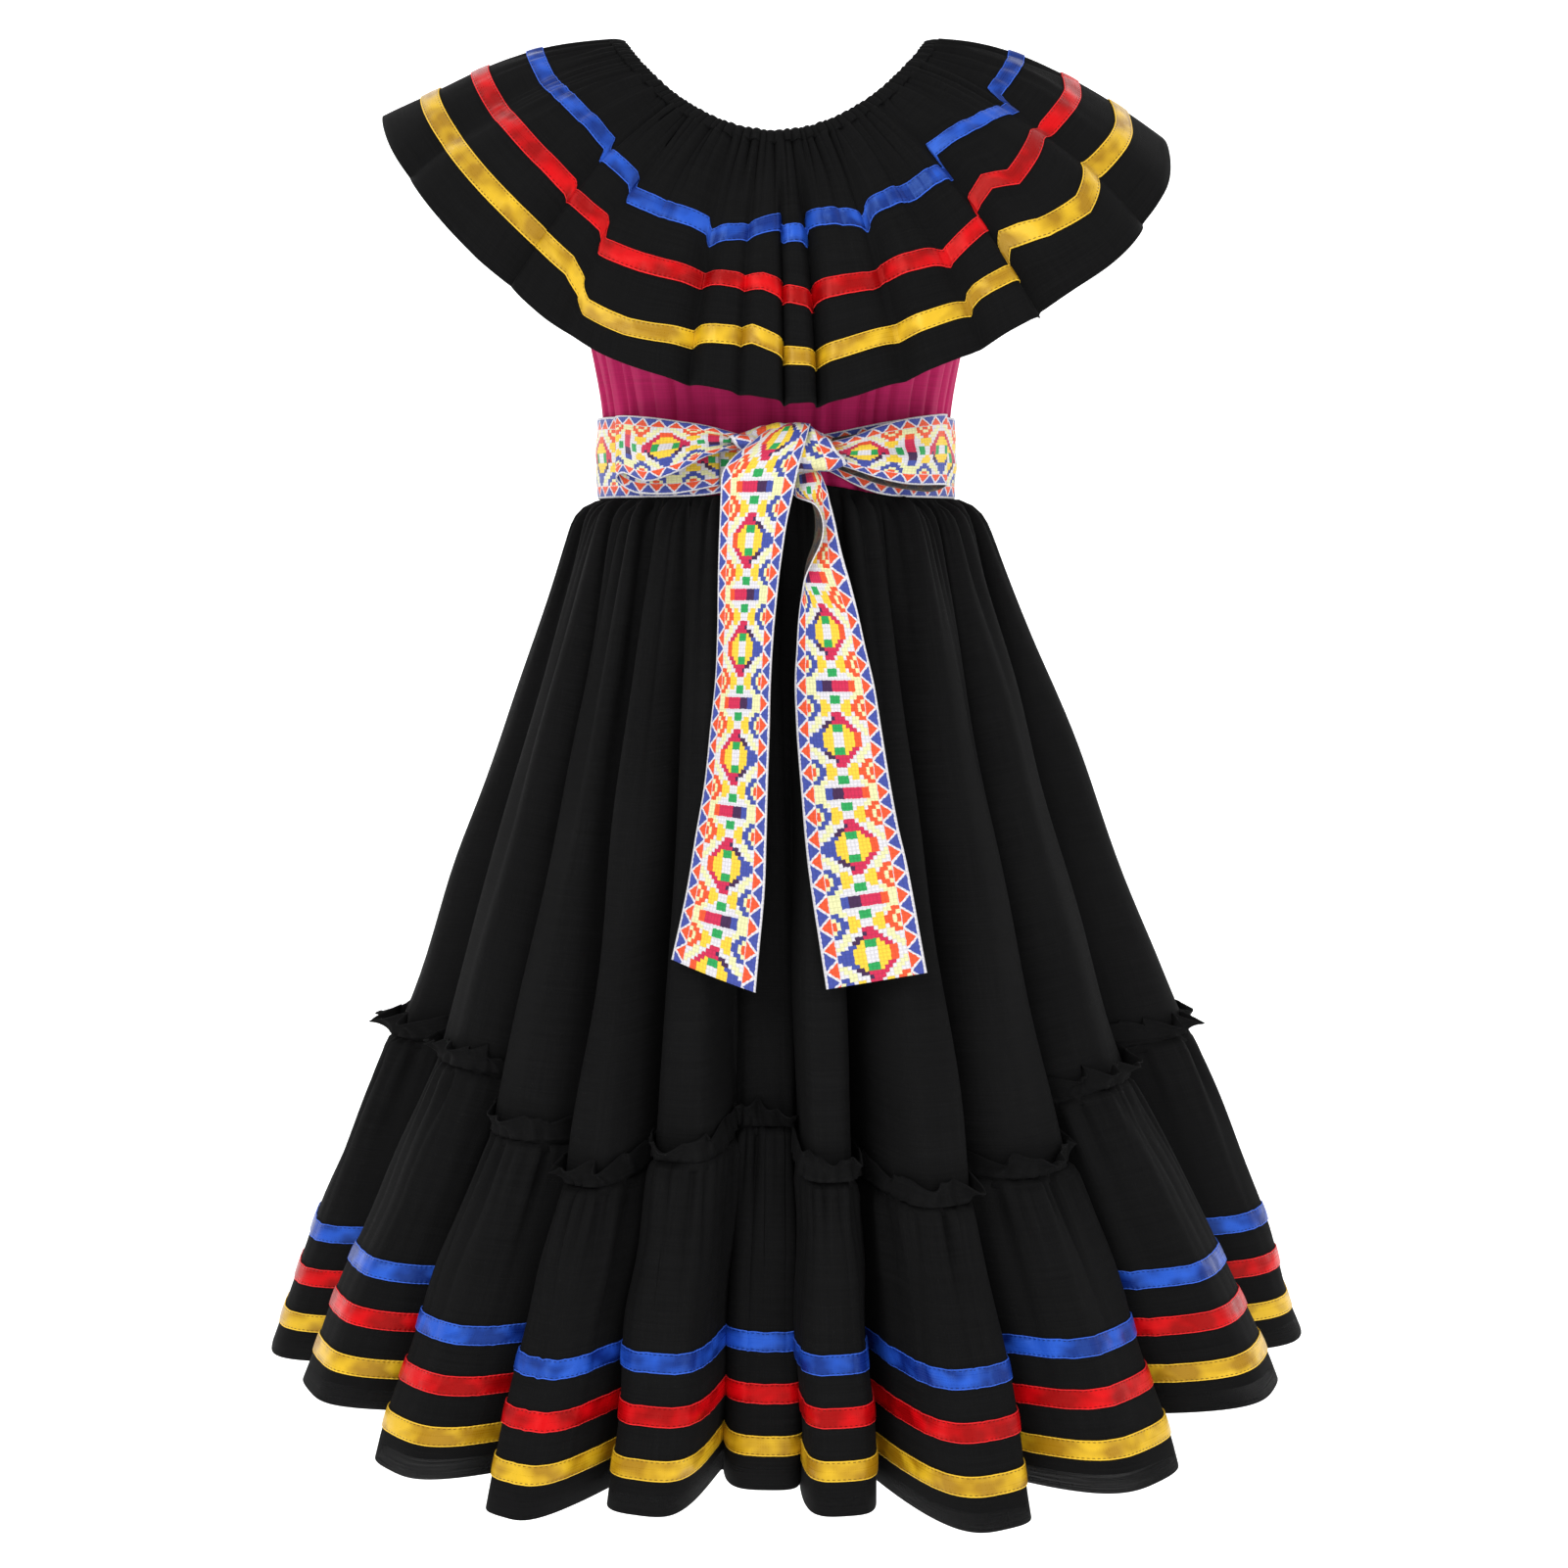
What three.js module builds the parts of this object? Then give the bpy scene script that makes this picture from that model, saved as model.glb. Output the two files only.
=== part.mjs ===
import * as THREE from "three";

// A child's off-shoulder dress, filled out as it is worn but with nobody in it.
// Millimetres, +Z up, the front faces -Y. The origin lies between the two shoulder points.
// A bearing is in degrees from the front, towards +X, and a reach is the distance from the Z axis.

const cloth = 1.2; // wall of every cut piece
const ribbon = 1.0; // wall of the satin ribbons
const ribbonWidth = 10;
const gap = 0.3; // between pieces that are sewn to each other
const proud = cloth + gap + 0.2; // how far a piece that lies on another is moved out
const mitre = 2.5; // most that a wall's offset grows in a sharp crease

const neck = { centreX: -3.5, halfWidth: 82, depth: 58, frontScoop: 56, backScoop: 44, roundness: 1.8 };
const casing = { height: 8.6, gather: 0.7, wall: 1.6 };
const waist = { centreX: -3, halfWidth: 97.3, depth: 75.6, seamZ: -247 };
const skirtTop = { below: 0.5, collar: 0.01, puff: 0.1, puffRun: 0.012 };
const fluting = { overhang: 0.2, fullness: 1.7, stations: 5 };
const heading = { height: 12.5, flare: 7, wave: 3.5, overlap: 2.6, tuckedIn: 0.9, above: 2, lift: 5 };
const sash = { width: 46, topZ: -203.5, crown: 0.8, clear: 1.6, stations: 48 };
const bodiceGather = { depth: 0.9, stations: 20, sidesIn: 0.985, armhole: 1.6, underCasing: 2 };

// The neck flounce, section by section round the neck: its bearing on the neckline, the direction in
// which the section fans out, how far it reaches and drops, and how steeply it leaves the neckline.
const flounceSections = [
  { at: 0, fans: 0, reach: 58, drop: 147, steep: 54 },
  { at: 22.5, fans: 43, reach: 81, drop: 124, steep: 42 },
  { at: 45, fans: 62, reach: 125, drop: 103, steep: 22 },
  { at: 67.5, fans: 75, reach: 136, drop: 76, steep: 8 },
  { at: 90, fans: 90, reach: 129, drop: 47, steep: 0 },
  { at: 112.5, fans: 105, reach: 129, drop: 62, steep: 6 },
  { at: 135, fans: 118, reach: 113, drop: 86, steep: 20 },
  { at: 157.5, fans: 137, reach: 80, drop: 116, steep: 40 },
  { at: 180, fans: 180, reach: 56, drop: 132, steep: 52 },
  { at: 202.5, fans: 223, reach: 80, drop: 114, steep: 40 },
  { at: 225, fans: 242, reach: 113, drop: 74, steep: 20 },
  { at: 247.5, fans: 255, reach: 128, drop: 50, steep: 6 },
  { at: 270, fans: 270, reach: 132, drop: 38, steep: 0 },
  { at: 292.5, fans: 285, reach: 129, drop: 60, steep: 6 },
  { at: 315, fans: 298, reach: 115, drop: 90, steep: 20 },
  { at: 337.5, fans: 316, reach: 83, drop: 133, steep: 42 },
];

// Folds of the neck flounce: the crest's bearing on the neckline, then that of the crease after it and
// how far the crease is drawn in at the hem of the flounce.
const flounceFolds = [
  { at: -79, crease: -67, dip: 4 },
  { at: -55, crease: -43, dip: 5 },
  { at: -36, crease: -30.5, dip: 10 },
  { at: -27, crease: -23, dip: 9 },
  { at: -15, crease: -7, dip: 8 },
  { at: -2, crease: 3.5, dip: 15 },
  { at: 7, crease: 10, dip: 5 },
  { at: 14, crease: 19, dip: 9 },
  { at: 24, crease: 29, dip: 20 },
  { at: 34, crease: 38.5, dip: 10 },
  { at: 50, crease: 62, dip: 6 },
  { at: 76, crease: 90, dip: 5 },
  { at: 103, crease: 117, dip: 7 },
  { at: 130, crease: 143, dip: 9 },
  { at: 155, crease: 167, dip: 9 },
  { at: 179, crease: 191, dip: 10 },
  { at: 203, crease: 216, dip: 9 },
  { at: 229, crease: 242, dip: 8 },
  { at: 256, crease: 270, dip: 6 },
];
const flounceStations = 4; // points across one fold
const shoulderFold = 12; // the fold that starts on the crease at the right shoulder
const flounceCurve = { control: 0.42, creaseGrows: 1.2 }; // where the curve turns, how creases deepen
const flounceRows = [0, 0.14, 0.4, 0.7, 1]; // shares of the flounce's length
const flounceRibbons = { length: 146, blue: 0.36, red: 0.6, gold: 0.81 };

// Flutes of the skirt: the crest's bearing, reach and height at the tier seam and at the hem, then the
// bearing of the valley after it and how far in the cloth is drawn there.
const flutes = [
  { at: -82, seam: 219, seamZ: -548, hem: 289, hemZ: -720, valley: -73, seamIn: 166, hemIn: 220 },
  { at: -63, seam: 199, seamZ: -553, hem: 275, hemZ: -719, valley: -55.5, seamIn: 146, hemIn: 204 },
  { at: -47.5, seam: 191, seamZ: -584, hem: 262, hemZ: -741, valley: -39, seamIn: 130, hemIn: 180 },
  { at: -32.5, seam: 184, seamZ: -603, hem: 246, hemZ: -752, valley: -27, seamIn: 119, hemIn: 160 },
  { at: -19.5, seam: 163, seamZ: -590, hem: 216, hemZ: -751, valley: -12, seamIn: 115, hemIn: 147 },
  { at: -4.5, seam: 122, seamZ: -579, hem: 172, hemZ: -751, valley: 3.5, seamIn: 118, hemIn: 144 },
  { at: 11, seam: 159, seamZ: -600, hem: 198, hemZ: -755, valley: 18, seamIn: 103, hemIn: 133 },
  { at: 25.5, seam: 183, seamZ: -611, hem: 237, hemZ: -756, valley: 34, seamIn: 121, hemIn: 164 },
  { at: 45, seam: 189, seamZ: -603, hem: 258, hemZ: -746, valley: 55.5, seamIn: 139, hemIn: 192 },
  { at: 65.5, seam: 200, seamZ: -565, hem: 283, hemZ: -721, valley: 75.5, seamIn: 166, hemIn: 222 },
  { at: 86.5, seam: 229, seamZ: -549, hem: 296, hemZ: -717, valley: 97, seamIn: 173, hemIn: 230 },
  { at: 105, seam: 219, seamZ: -556, hem: 287, hemZ: -720, valley: 113, seamIn: 160, hemIn: 216 },
  { at: 121, seam: 205, seamZ: -568, hem: 271, hemZ: -728, valley: 129, seamIn: 147, hemIn: 200 },
  { at: 137, seam: 192, seamZ: -580, hem: 256, hemZ: -737, valley: 144.5, seamIn: 134, hemIn: 184 },
  { at: 152, seam: 181, seamZ: -591, hem: 242, hemZ: -745, valley: 159.5, seamIn: 123, hemIn: 170 },
  { at: 167, seam: 171, seamZ: -597, hem: 229, hemZ: -750, valley: 174.5, seamIn: 115, hemIn: 158 },
  { at: 182, seam: 165, seamZ: -599, hem: 223, hemZ: -751, valley: 190, seamIn: 114, hemIn: 156 },
  { at: 198, seam: 169, seamZ: -596, hem: 229, hemZ: -749, valley: 205.5, seamIn: 119, hemIn: 163 },
  { at: 213, seam: 179, seamZ: -589, hem: 240, hemZ: -744, valley: 221, seamIn: 129, hemIn: 176 },
  { at: 229, seam: 189, seamZ: -578, hem: 255, hemZ: -736, valley: 237, seamIn: 142, hemIn: 193 },
  { at: 245, seam: 203, seamZ: -565, hem: 272, hemZ: -727, valley: 253, seamIn: 156, hemIn: 210 },
  { at: 261, seam: 216, seamZ: -553, hem: 285, hemZ: -720, valley: 269, seamIn: 165, hemIn: 220 },
];
const tierRows = [0, skirtTop.collar, 0.03, 0.35, 0.955, 1]; // shares of the tier's height
const hemRows = [0, 0.1, 0.65, 1]; // shares of the hem flounce's height
const hemRibbons = { blue: 74, red: 48, gold: 22 }; // centre of each ribbon above the hem, along the cloth

// Rows of one bodice panel below the neckline, from the shoulder edge down past the armhole: where its
// side edge lies, and the depth and height of its middle.
const bodiceRows = [
  { sideX: 98, sideY: 3.5, sideZ: -10, midY: 66, midZ: -74 },
  { sideX: 102, sideY: 33, sideZ: -42, midY: 75, midZ: -100 },
  { sideX: 105, sideY: 42, sideZ: -82, midY: 80, midZ: -126 },
  { sideX: 107, sideY: 30, sideZ: -126, midY: 83, midZ: -150 },
  { sideX: 105.5, sideY: 0, sideZ: -152, midY: 83, midZ: -166 },
  { sideX: 96.4, sideY: 0, sideZ: -202, midY: 74.8, midZ: -203 },
  { sideX: 96.4, sideY: 0, sideZ: -247, midY: 74.8, midZ: -247 },
];

// Bow loops, from the knot along the front of the loop, round its end and back along the sash: the
// bearing on the sash, the distance off it, and the heights of the two edges.
const leftLoop = [
  { bearing: -18, off: 15, top: -217, bottom: -231 },
  { bearing: -27, off: 14, top: -213, bottom: -234 },
  { bearing: -38, off: 11, top: -209, bottom: -238 },
  { bearing: -48, off: 9.5, top: -206, bottom: -240 },
  { bearing: -52, off: 8, top: -205, bottom: -242 },
  { bearing: -53, off: 5, top: -205, bottom: -244 },
  { bearing: -51, off: 2, top: -206, bottom: -246 },
  { bearing: -46, off: 1.2, top: -207, bottom: -247 },
  { bearing: -32, off: 1.2, top: -211, bottom: -247 },
  { bearing: -17, off: 1.2, top: -216, bottom: -242 },
];
const rightLoop = [
  { bearing: 19, off: 15, top: -217, bottom: -232 },
  { bearing: 28, off: 14, top: -212, bottom: -236 },
  { bearing: 42, off: 11, top: -207, bottom: -240 },
  { bearing: 54, off: 9.5, top: -203, bottom: -242 },
  { bearing: 58, off: 8, top: -203, bottom: -243 },
  { bearing: 59, off: 5, top: -203, bottom: -244 },
  { bearing: 57, off: 2, top: -204, bottom: -246 },
  { bearing: 51, off: 1.2, top: -206, bottom: -248 },
  { bearing: 34, off: 1.2, top: -212, bottom: -247 },
  { bearing: 17, off: 1.2, top: -217, bottom: -241 },
];
const knot = { centreX: 1, centreY: -93.2, centreZ: -223, halfWidth: 31, deep: 13.6, tall: 16, pinch: 0.12 };
const knotTurn = { open: 15, flat: 90, stations: 12 }; // degrees left open on each side behind; flat from 90

// Sash tails: the height of the row, how much lower its right edge is, and where both edges hang.
const leftTail = [
  { z: -240.4, slant: 0, left: -28, right: 0, leftY: -93, rightY: -93 },
  { z: -247, slant: 0, left: -31, right: 3, leftY: -99, rightY: -101 },
  { z: -262, slant: 0, left: -33, right: 3, leftY: -103, rightY: -108 },
  { z: -294, slant: 0, left: -34, right: 0, leftY: -106, rightY: -116 },
  { z: -345, slant: 0, left: -36, right: -5, leftY: -108, rightY: -124 },
  { z: -397, slant: -2, left: -40, right: -7, leftY: -116, rightY: -132 },
  { z: -447, slant: -6, left: -48, right: -9, leftY: -128, rightY: -142 },
  { z: -484, slant: -15, left: -56, right: -13, leftY: -138, rightY: -150 },
];
const rightTail = [
  { z: -239.9, slant: 0, left: 4.5, right: 30, leftY: -93, rightY: -93 },
  { z: -247, slant: 0, left: 6.5, right: 36, leftY: -99, rightY: -98 },
  { z: -262, slant: 0, left: 8, right: 40, leftY: -104, rightY: -104 },
  { z: -294, slant: 0, left: 8, right: 41, leftY: -108, rightY: -109 },
  { z: -345, slant: 0, left: 7, right: 49, leftY: -110, rightY: -113 },
  { z: -397, slant: 2, left: 10, right: 56, leftY: -119, rightY: -123 },
  { z: -447, slant: 8, left: 15, right: 65, leftY: -130, rightY: -137 },
  { z: -499, slant: 10, left: 23, right: 74, leftY: -141, rightY: -149 },
];

const materials = {
  black: new THREE.MeshStandardMaterial({ color: 0x141415, roughness: 0.92, metalness: 0 }),
  magenta: new THREE.MeshStandardMaterial({ color: 0xa2265a, roughness: 0.85, metalness: 0 }),
  blue: new THREE.MeshStandardMaterial({ color: 0x2d55c4, roughness: 0.38, metalness: 0 }),
  red: new THREE.MeshStandardMaterial({ color: 0xd0141a, roughness: 0.38, metalness: 0 }),
  gold: new THREE.MeshStandardMaterial({ color: 0xe0b02c, roughness: 0.36, metalness: 0 }),
  jacquard: new THREE.MeshStandardMaterial({ color: 0xe8e2e0, roughness: 0.7, metalness: 0 }),
};

const degree = Math.PI / 180;

function mix(from, to, share) {
  return from + (to - from) * share;
}

function polar(bearing, reach, z) {
  return new THREE.Vector3(reach * Math.sin(bearing * degree), -reach * Math.cos(bearing * degree), z);
}

// The unit direction that points along a bearing and falls by an angle.
function falling(bearing, angle) {
  return polar(bearing, Math.cos(angle * degree), -Math.sin(angle * degree));
}

// ---- Sheets: grids of points, rows from the top down and stations round the body -------------------

// The spans of a line on each side of a point, as unit directions along the line.
function spansAt(before, point, after) {
  const spans = [];
  if (before) spans.push(point.clone().sub(before).normalize());
  if (after) spans.push(after.clone().sub(point).normalize());
  return spans;
}

// A sheet keeps each row's share, its points and the normals that face out of the garment. A normal is
// the mean of those of the spans on its two sides, longer in a crease so that walls keep their thickness.
function sheetFrom(shares, points, closed) {
  const total = (vectors) => vectors.reduce((sum, vector) => sum.add(vector), new THREE.Vector3());
  const normals = points.map((line, r) =>
    line.map((point, s) => {
      const last = line.length - 1;
      const down = total(spansAt(points[r - 1]?.[s], point, points[r + 1]?.[s]));
      const spans = spansAt(line[s - 1] ?? (closed && line[last]), point, line[s + 1] ?? (closed && line[0]));
      const mean = total(spans.map((span) => down.clone().cross(span).normalize()));
      return mean.setLength(Math.min(spans.length / mean.length(), mitre));
    }),
  );
  return { shares, points, normals, closed };
}

// The line of a sheet at any share, between the two rows that hold it.
function lineAt(sheet, share) {
  const { shares, points, normals } = sheet;
  let lower = shares.findIndex((value) => value >= share);
  lower = Math.max(lower, 1);
  const part = (share - shares[lower - 1]) / (shares[lower] - shares[lower - 1]);
  const blend = (rows) => rows[lower - 1].map((value, s) => value.clone().lerp(rows[lower][s], part));
  return { points: blend(points), normals: blend(normals) };
}

// A strip of a sheet, moved out along the sheet's own normals.
function stripOf(sheet, from, to, out) {
  const lines = [lineAt(sheet, from), lineAt(sheet, to)];
  const moved = ({ points, normals }) => points.map((p, s) => p.clone().addScaledVector(normals[s], out));
  const points = lines.map(moved);
  return { shares: [from, to], points, normals: lines.map((line) => line.normals), closed: sheet.closed };
}

// Some stations of a closed sheet as an open one, its two side edges drawn in by half a seam gap.
function panelOf(sheet, first, last) {
  const stations = sheet.points[0].length;
  const pick = (line) => {
    const picked = [];
    for (let s = first; s <= last; s++) picked.push(line[(s + stations) % stations].clone());
    return picked;
  };
  const points = sheet.points.map(pick);
  for (const line of points) {
    const end = line.length - 1;
    line[0].addScaledVector(line[1].clone().sub(line[0]).normalize(), gap / 2);
    line[end].addScaledVector(line[end - 1].clone().sub(line[end]).normalize(), gap / 2);
  }
  return { shares: sheet.shares, points, normals: sheet.normals.map(pick), closed: false };
}

// The closed wall of a sheet: an outer and an inner skin, joined along every free edge.
function wallOf(name, sheet, material, thickness = cloth) {
  const rows = sheet.points.length;
  const stations = sheet.points[0].length;
  const positions = [];
  for (const side of [0.5, -0.5]) {
    sheet.points.forEach((line, r) =>
      line.forEach((point, s) => {
        positions.push(...point.clone().addScaledVector(sheet.normals[r][s], side * thickness).toArray());
      }),
    );
  }
  const outer = (r, s) => r * stations + (s % stations);
  const inner = (r, s) => rows * stations + outer(r, s);
  const index = [];
  const quad = (a, b, c, d) => index.push(a, b, c, a, c, d);
  const spans = sheet.closed ? stations : stations - 1;
  for (let s = 0; s < spans; s++) {
    for (let r = 0; r < rows - 1; r++) {
      quad(outer(r, s), outer(r + 1, s), outer(r + 1, s + 1), outer(r, s + 1));
      quad(inner(r, s), inner(r, s + 1), inner(r + 1, s + 1), inner(r + 1, s));
    }
    quad(outer(0, s), outer(0, s + 1), inner(0, s + 1), inner(0, s));
    quad(outer(rows - 1, s), inner(rows - 1, s), inner(rows - 1, s + 1), outer(rows - 1, s + 1));
  }
  if (!sheet.closed) {
    const end = stations - 1;
    for (let r = 0; r < rows - 1; r++) {
      quad(outer(r + 1, 0), outer(r, 0), inner(r, 0), inner(r + 1, 0));
      quad(outer(r, end), outer(r + 1, end), inner(r + 1, end), inner(r, end));
    }
  }
  const geometry = new THREE.BufferGeometry();
  geometry.setAttribute("position", new THREE.Float32BufferAttribute(positions, 3));
  geometry.setIndex(index);
  geometry.computeVertexNormals();
  const mesh = new THREE.Mesh(geometry, material);
  mesh.name = name;
  return mesh;
}

// A value of a table that goes round the body, by a smooth curve through its rows.
function roundTable(rows, column, at) {
  const pitch = 360 / rows.length;
  const place = (((at % 360) + 360) % 360) / pitch;
  const k = Math.floor(place);
  const x = place - k;
  const value = (step) => {
    const turns = Math.floor((k + step) / rows.length);
    const turned = column === "fans" ? 360 * turns : 0;
    return rows[(k + step + rows.length) % rows.length][column] + turned;
  };
  const [a, b, c, d] = [value(-1), value(0), value(1), value(2)];
  return b + 0.5 * x * (c - a + x * (2 * a - 5 * b + 4 * c - d + x * (3 * (b - c) + d - a)));
}

// Stations over folds that follow each other, each from one crease to the next: u runs from -1 at the
// crease before the crest to 1 at the crease after it.
function stationsOver(folds, crease, count) {
  return folds.flatMap((fold, i) => {
    const previous = folds[(i + folds.length - 1) % folds.length];
    const next = folds[(i + 1) % folds.length];
    const start = previous[crease] - (i === 0 ? 360 : 0);
    return Array.from({ length: count }, (_, k) => {
      const u = -1 + (2 * k) / count;
      const side = u < 0 ? previous : fold;
      const span = u < 0 ? fold.at - start : fold[crease] - fold.at;
      return { fold, side, beyond: u < 0 ? previous : next, u, span };
    });
  });
}

// 0 on the crest and 1 in the crease, with a broad crest and a narrow crease.
function fallOf(u) {
  return (1 - Math.cos(Math.PI * Math.abs(u) ** fluting.fullness)) / 2;
}

// ---- Neck -----------------------------------------------------------------------------------------

// A point of the neck's section at a bearing: along the section from the neckline, and off it.
function neckPoint(bearing, along, off) {
  const front = Math.cos(bearing * degree);
  const scoop = front > 0 ? neck.frontScoop : neck.backScoop;
  const fans = roundTable(flounceSections, "fans", bearing);
  const steep = roundTable(flounceSections, "steep", bearing);
  return new THREE.Vector3(
    neck.centreX + neck.halfWidth * Math.sin(bearing * degree),
    -neck.depth * front,
    -scoop * Math.abs(front) ** neck.roundness,
  )
    .addScaledVector(falling(fans, steep), along)
    .addScaledVector(falling(fans, steep - 90), off);
}

// A point of the flounce: a curve from under the casing to the flounce's hem, drawn in at the creases.
function flouncePoint({ fold, u, span, side }, share, number) {
  const bearing = fold.at + span * u;
  const fans = roundTable(flounceSections, "fans", bearing);
  const steep = roundTable(flounceSections, "steep", bearing);
  const start = neckPoint(bearing, casing.height + gap, 0);
  const hem = neckPoint(bearing, 0, 0).add(polar(fans, roundTable(flounceSections, "reach", bearing), 0));
  hem.z -= roundTable(flounceSections, "drop", bearing);
  const reachOfControl = flounceCurve.control * hem.distanceTo(start);
  const control = start.clone().addScaledVector(falling(fans, steep), reachOfControl);
  const point = start.clone().lerp(control, share).lerp(control.clone().lerp(hem, share), share);
  const along = control.clone().lerp(hem, share).sub(start.clone().lerp(control, share)).normalize();
  const sideways = polar(fans + 90, 1, 0);
  const out = along.cross(sideways);
  const gathers = casing.gather * (number % 2 ? 1 : -1) * (1 - share);
  return point.addScaledVector(out, gathers - side.dip * fallOf(u) * share ** flounceCurve.creaseGrows);
}

function makeNeck(group) {
  const stations = stationsOver(flounceFolds, "crease", flounceStations);
  const casingPoints = [0, casing.height].map((along) =>
    stations.map(({ fold, span, u }, number) =>
      neckPoint(fold.at + span * u, along, casing.gather * (number % 2 ? 1 : -1)),
    ),
  );
  group.add(wallOf("neck_casing", sheetFrom([0, 1], casingPoints, true), materials.black, casing.wall));

  const points = flounceRows.map((share) => stations.map((station, n) => flouncePoint(station, share, n)));
  const flounce = sheetFrom(flounceRows, points, true);
  const shoulder = shoulderFold * flounceStations;
  group.add(wallOf("flounce_front", panelOf(flounce, 0, shoulder), materials.black));
  group.add(wallOf("flounce_back", panelOf(flounce, shoulder, stations.length), materials.black));
  for (const colour of ["blue", "red", "gold"]) {
    const half = ribbonWidth / 2 / flounceRibbons.length;
    const centre = flounceRibbons[colour];
    const strip = stripOf(flounce, centre - half, centre + half, proud);
    group.add(wallOf("flounce_ribbon_" + colour, strip, materials[colour], ribbon));
  }
}

// ---- Bodice ---------------------------------------------------------------------------------------

// One panel, from the left side edge to the right one. facing is -1 for the front and 1 for the back.
function bodicePanel(name, facing) {
  const count = bodiceGather.stations;
  const ends = gap / 2;
  const points = [];
  const neckline = [];
  for (let s = 0; s <= count; s++) {
    const turn = bodiceGather.sidesIn * (-90 + (180 * s) / count);
    const bearing = facing < 0 ? turn : 180 - turn;
    neckline.push(neckPoint(bearing, casing.height - bodiceGather.underCasing, -proud - 2 * casing.gather));
  }
  points.push(neckline);
  for (const row of bodiceRows) {
    const line = [];
    for (let s = 0; s <= count; s++) {
      const turn = (-90 + (180 * s) / count) * degree;
      const cosine = Math.max(Math.cos(turn), 0);
      const gather = s === 0 || s === count ? 0 : bodiceGather.depth * (s % 2 ? 1 : -1);
      const depth = row.sideY + ends + (row.midY + gather - row.sideY - ends) * cosine;
      const z = mix(row.midZ, row.sideZ, 1 - cosine ** bodiceGather.armhole);
      line.push(new THREE.Vector3(waist.centreX + (row.sideX + gather) * Math.sin(turn), facing * depth, z));
    }
    points.push(line);
  }
  if (facing > 0) points.forEach((line) => line.reverse());
  return wallOf(name, sheetFrom([], points, false), materials.magenta);
}

// ---- Skirt ----------------------------------------------------------------------------------------

// A point of the fluted ring at the tier seam or at the hem; ring is "seam" or "hem".
function flutedPoint({ fold, side, beyond, u, span }, ring) {
  const fall = fallOf(u);
  const bearing = fold.at + span * (u + fluting.overhang * Math.sin(Math.PI * u));
  const reach = mix(fold[ring], side[ring + "In"], fall);
  const between = (fold[ring + "Z"] + beyond[ring + "Z"]) / 2;
  return polar(bearing, reach, mix(fold[ring + "Z"], between, fall));
}

// How far the tier has left the waist for the seam's ring: a short collar, a puff, then a straight line.
function spreadAt(share) {
  const past = Math.max(share - skirtTop.collar, 0);
  const puff = skirtTop.puff * (1 - Math.exp(-past / skirtTop.puffRun));
  return puff + (1 - skirtTop.puff) * (past / (1 - skirtTop.collar));
}

function tierPoint(station, share) {
  const bearing = (station.fold.at + station.span * station.u) * degree;
  const top = new THREE.Vector3(
    waist.centreX + waist.halfWidth * Math.sin(bearing),
    -waist.depth * Math.cos(bearing),
    waist.seamZ - skirtTop.below,
  );
  const seam = flutedPoint(station, "seam");
  const point = top.clone().lerp(seam, spreadAt(share));
  point.z = mix(top.z, seam.z, share);
  return point;
}

function makeSkirt(group) {
  const stations = stationsOver(flutes, "valley", fluting.stations);
  const tierPoints = tierRows.map((share) => stations.map((station) => tierPoint(station, share)));
  const tier = sheetFrom(tierRows, tierPoints, true);
  group.add(wallOf("skirt_main", tier, materials.black));

  // The hem flounce starts on the tier's lower edge and ends at the hem.
  const length = Math.abs(flutes[0].seamZ - waist.seamZ);
  const line = lineAt(tier, 1 - heading.overlap / length);
  const start = line.points.map((p, s) => p.clone().addScaledVector(line.normals[s], proud));
  const hemPoints = hemRows.map((share) =>
    stations.map((station, s) =>
      share === 0
        ? start[s]
        : flutedPoint(station, "seam")
            .addScaledVector(line.normals[s], proud)
            .lerp(flutedPoint(station, "hem"), share),
    ),
  );
  const hem = sheetFrom(hemRows, hemPoints, true);
  hem.normals[0] = line.normals;
  group.add(wallOf("hem_flounce", hem, materials.black));

  // Its gathered heading stands up from the same line, in waves that lift and close in the valleys.
  const frillPoints = [heading.height, 0].map((height) =>
    stations.map(({ u }, s) => {
      const fall = fallOf(u);
      const above = heading.overlap + heading.above + heading.lift * fall + height;
      const { points, normals } = lineAt(tier, 1 - above / length);
      const wave = heading.flare + heading.wave * (s % 2 ? 1 : -1);
      const spread = height > 0 ? wave * (1 - heading.tuckedIn * fall) : 0;
      const outward = points[s].clone().setZ(0).normalize();
      return points[s].clone().addScaledVector(normals[s], proud).addScaledVector(outward, spread);
    }),
  );
  const frill = sheetFrom([0, 1], frillPoints, true);
  frill.normals[1] = line.normals;
  group.add(wallOf("hem_frill", frill, materials.black));

  // Satin ribbons round the hem flounce.
  const hemLength = hem.points[0][2].distanceTo(hem.points[hem.points.length - 1][2]);
  for (const colour of ["blue", "red", "gold"]) {
    const centre = hemRibbons[colour];
    const from = 1 - (centre + ribbonWidth / 2) / hemLength;
    const to = 1 - (centre - ribbonWidth / 2) / hemLength;
    group.add(wallOf("hem_ribbon_" + colour, stripOf(hem, from, to, proud), materials[colour], ribbon));
  }
}

// ---- Sash -----------------------------------------------------------------------------------------

// A point at a distance off the waist's own oval.
function sashPoint(bearing, off, z) {
  const angle = bearing * degree;
  return new THREE.Vector3(
    waist.centreX + (waist.halfWidth + off) * Math.sin(angle),
    -(waist.depth + off) * Math.cos(angle),
    z,
  );
}

// A table with a row added halfway between each two.
function halved(rows) {
  return rows.flatMap((row, i) => {
    const next = rows[i + 1];
    if (!next) return [row];
    return [row, Object.fromEntries(Object.keys(row).map((key) => [key, mix(row[key], next[key], 0.5)]))];
  });
}

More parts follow.
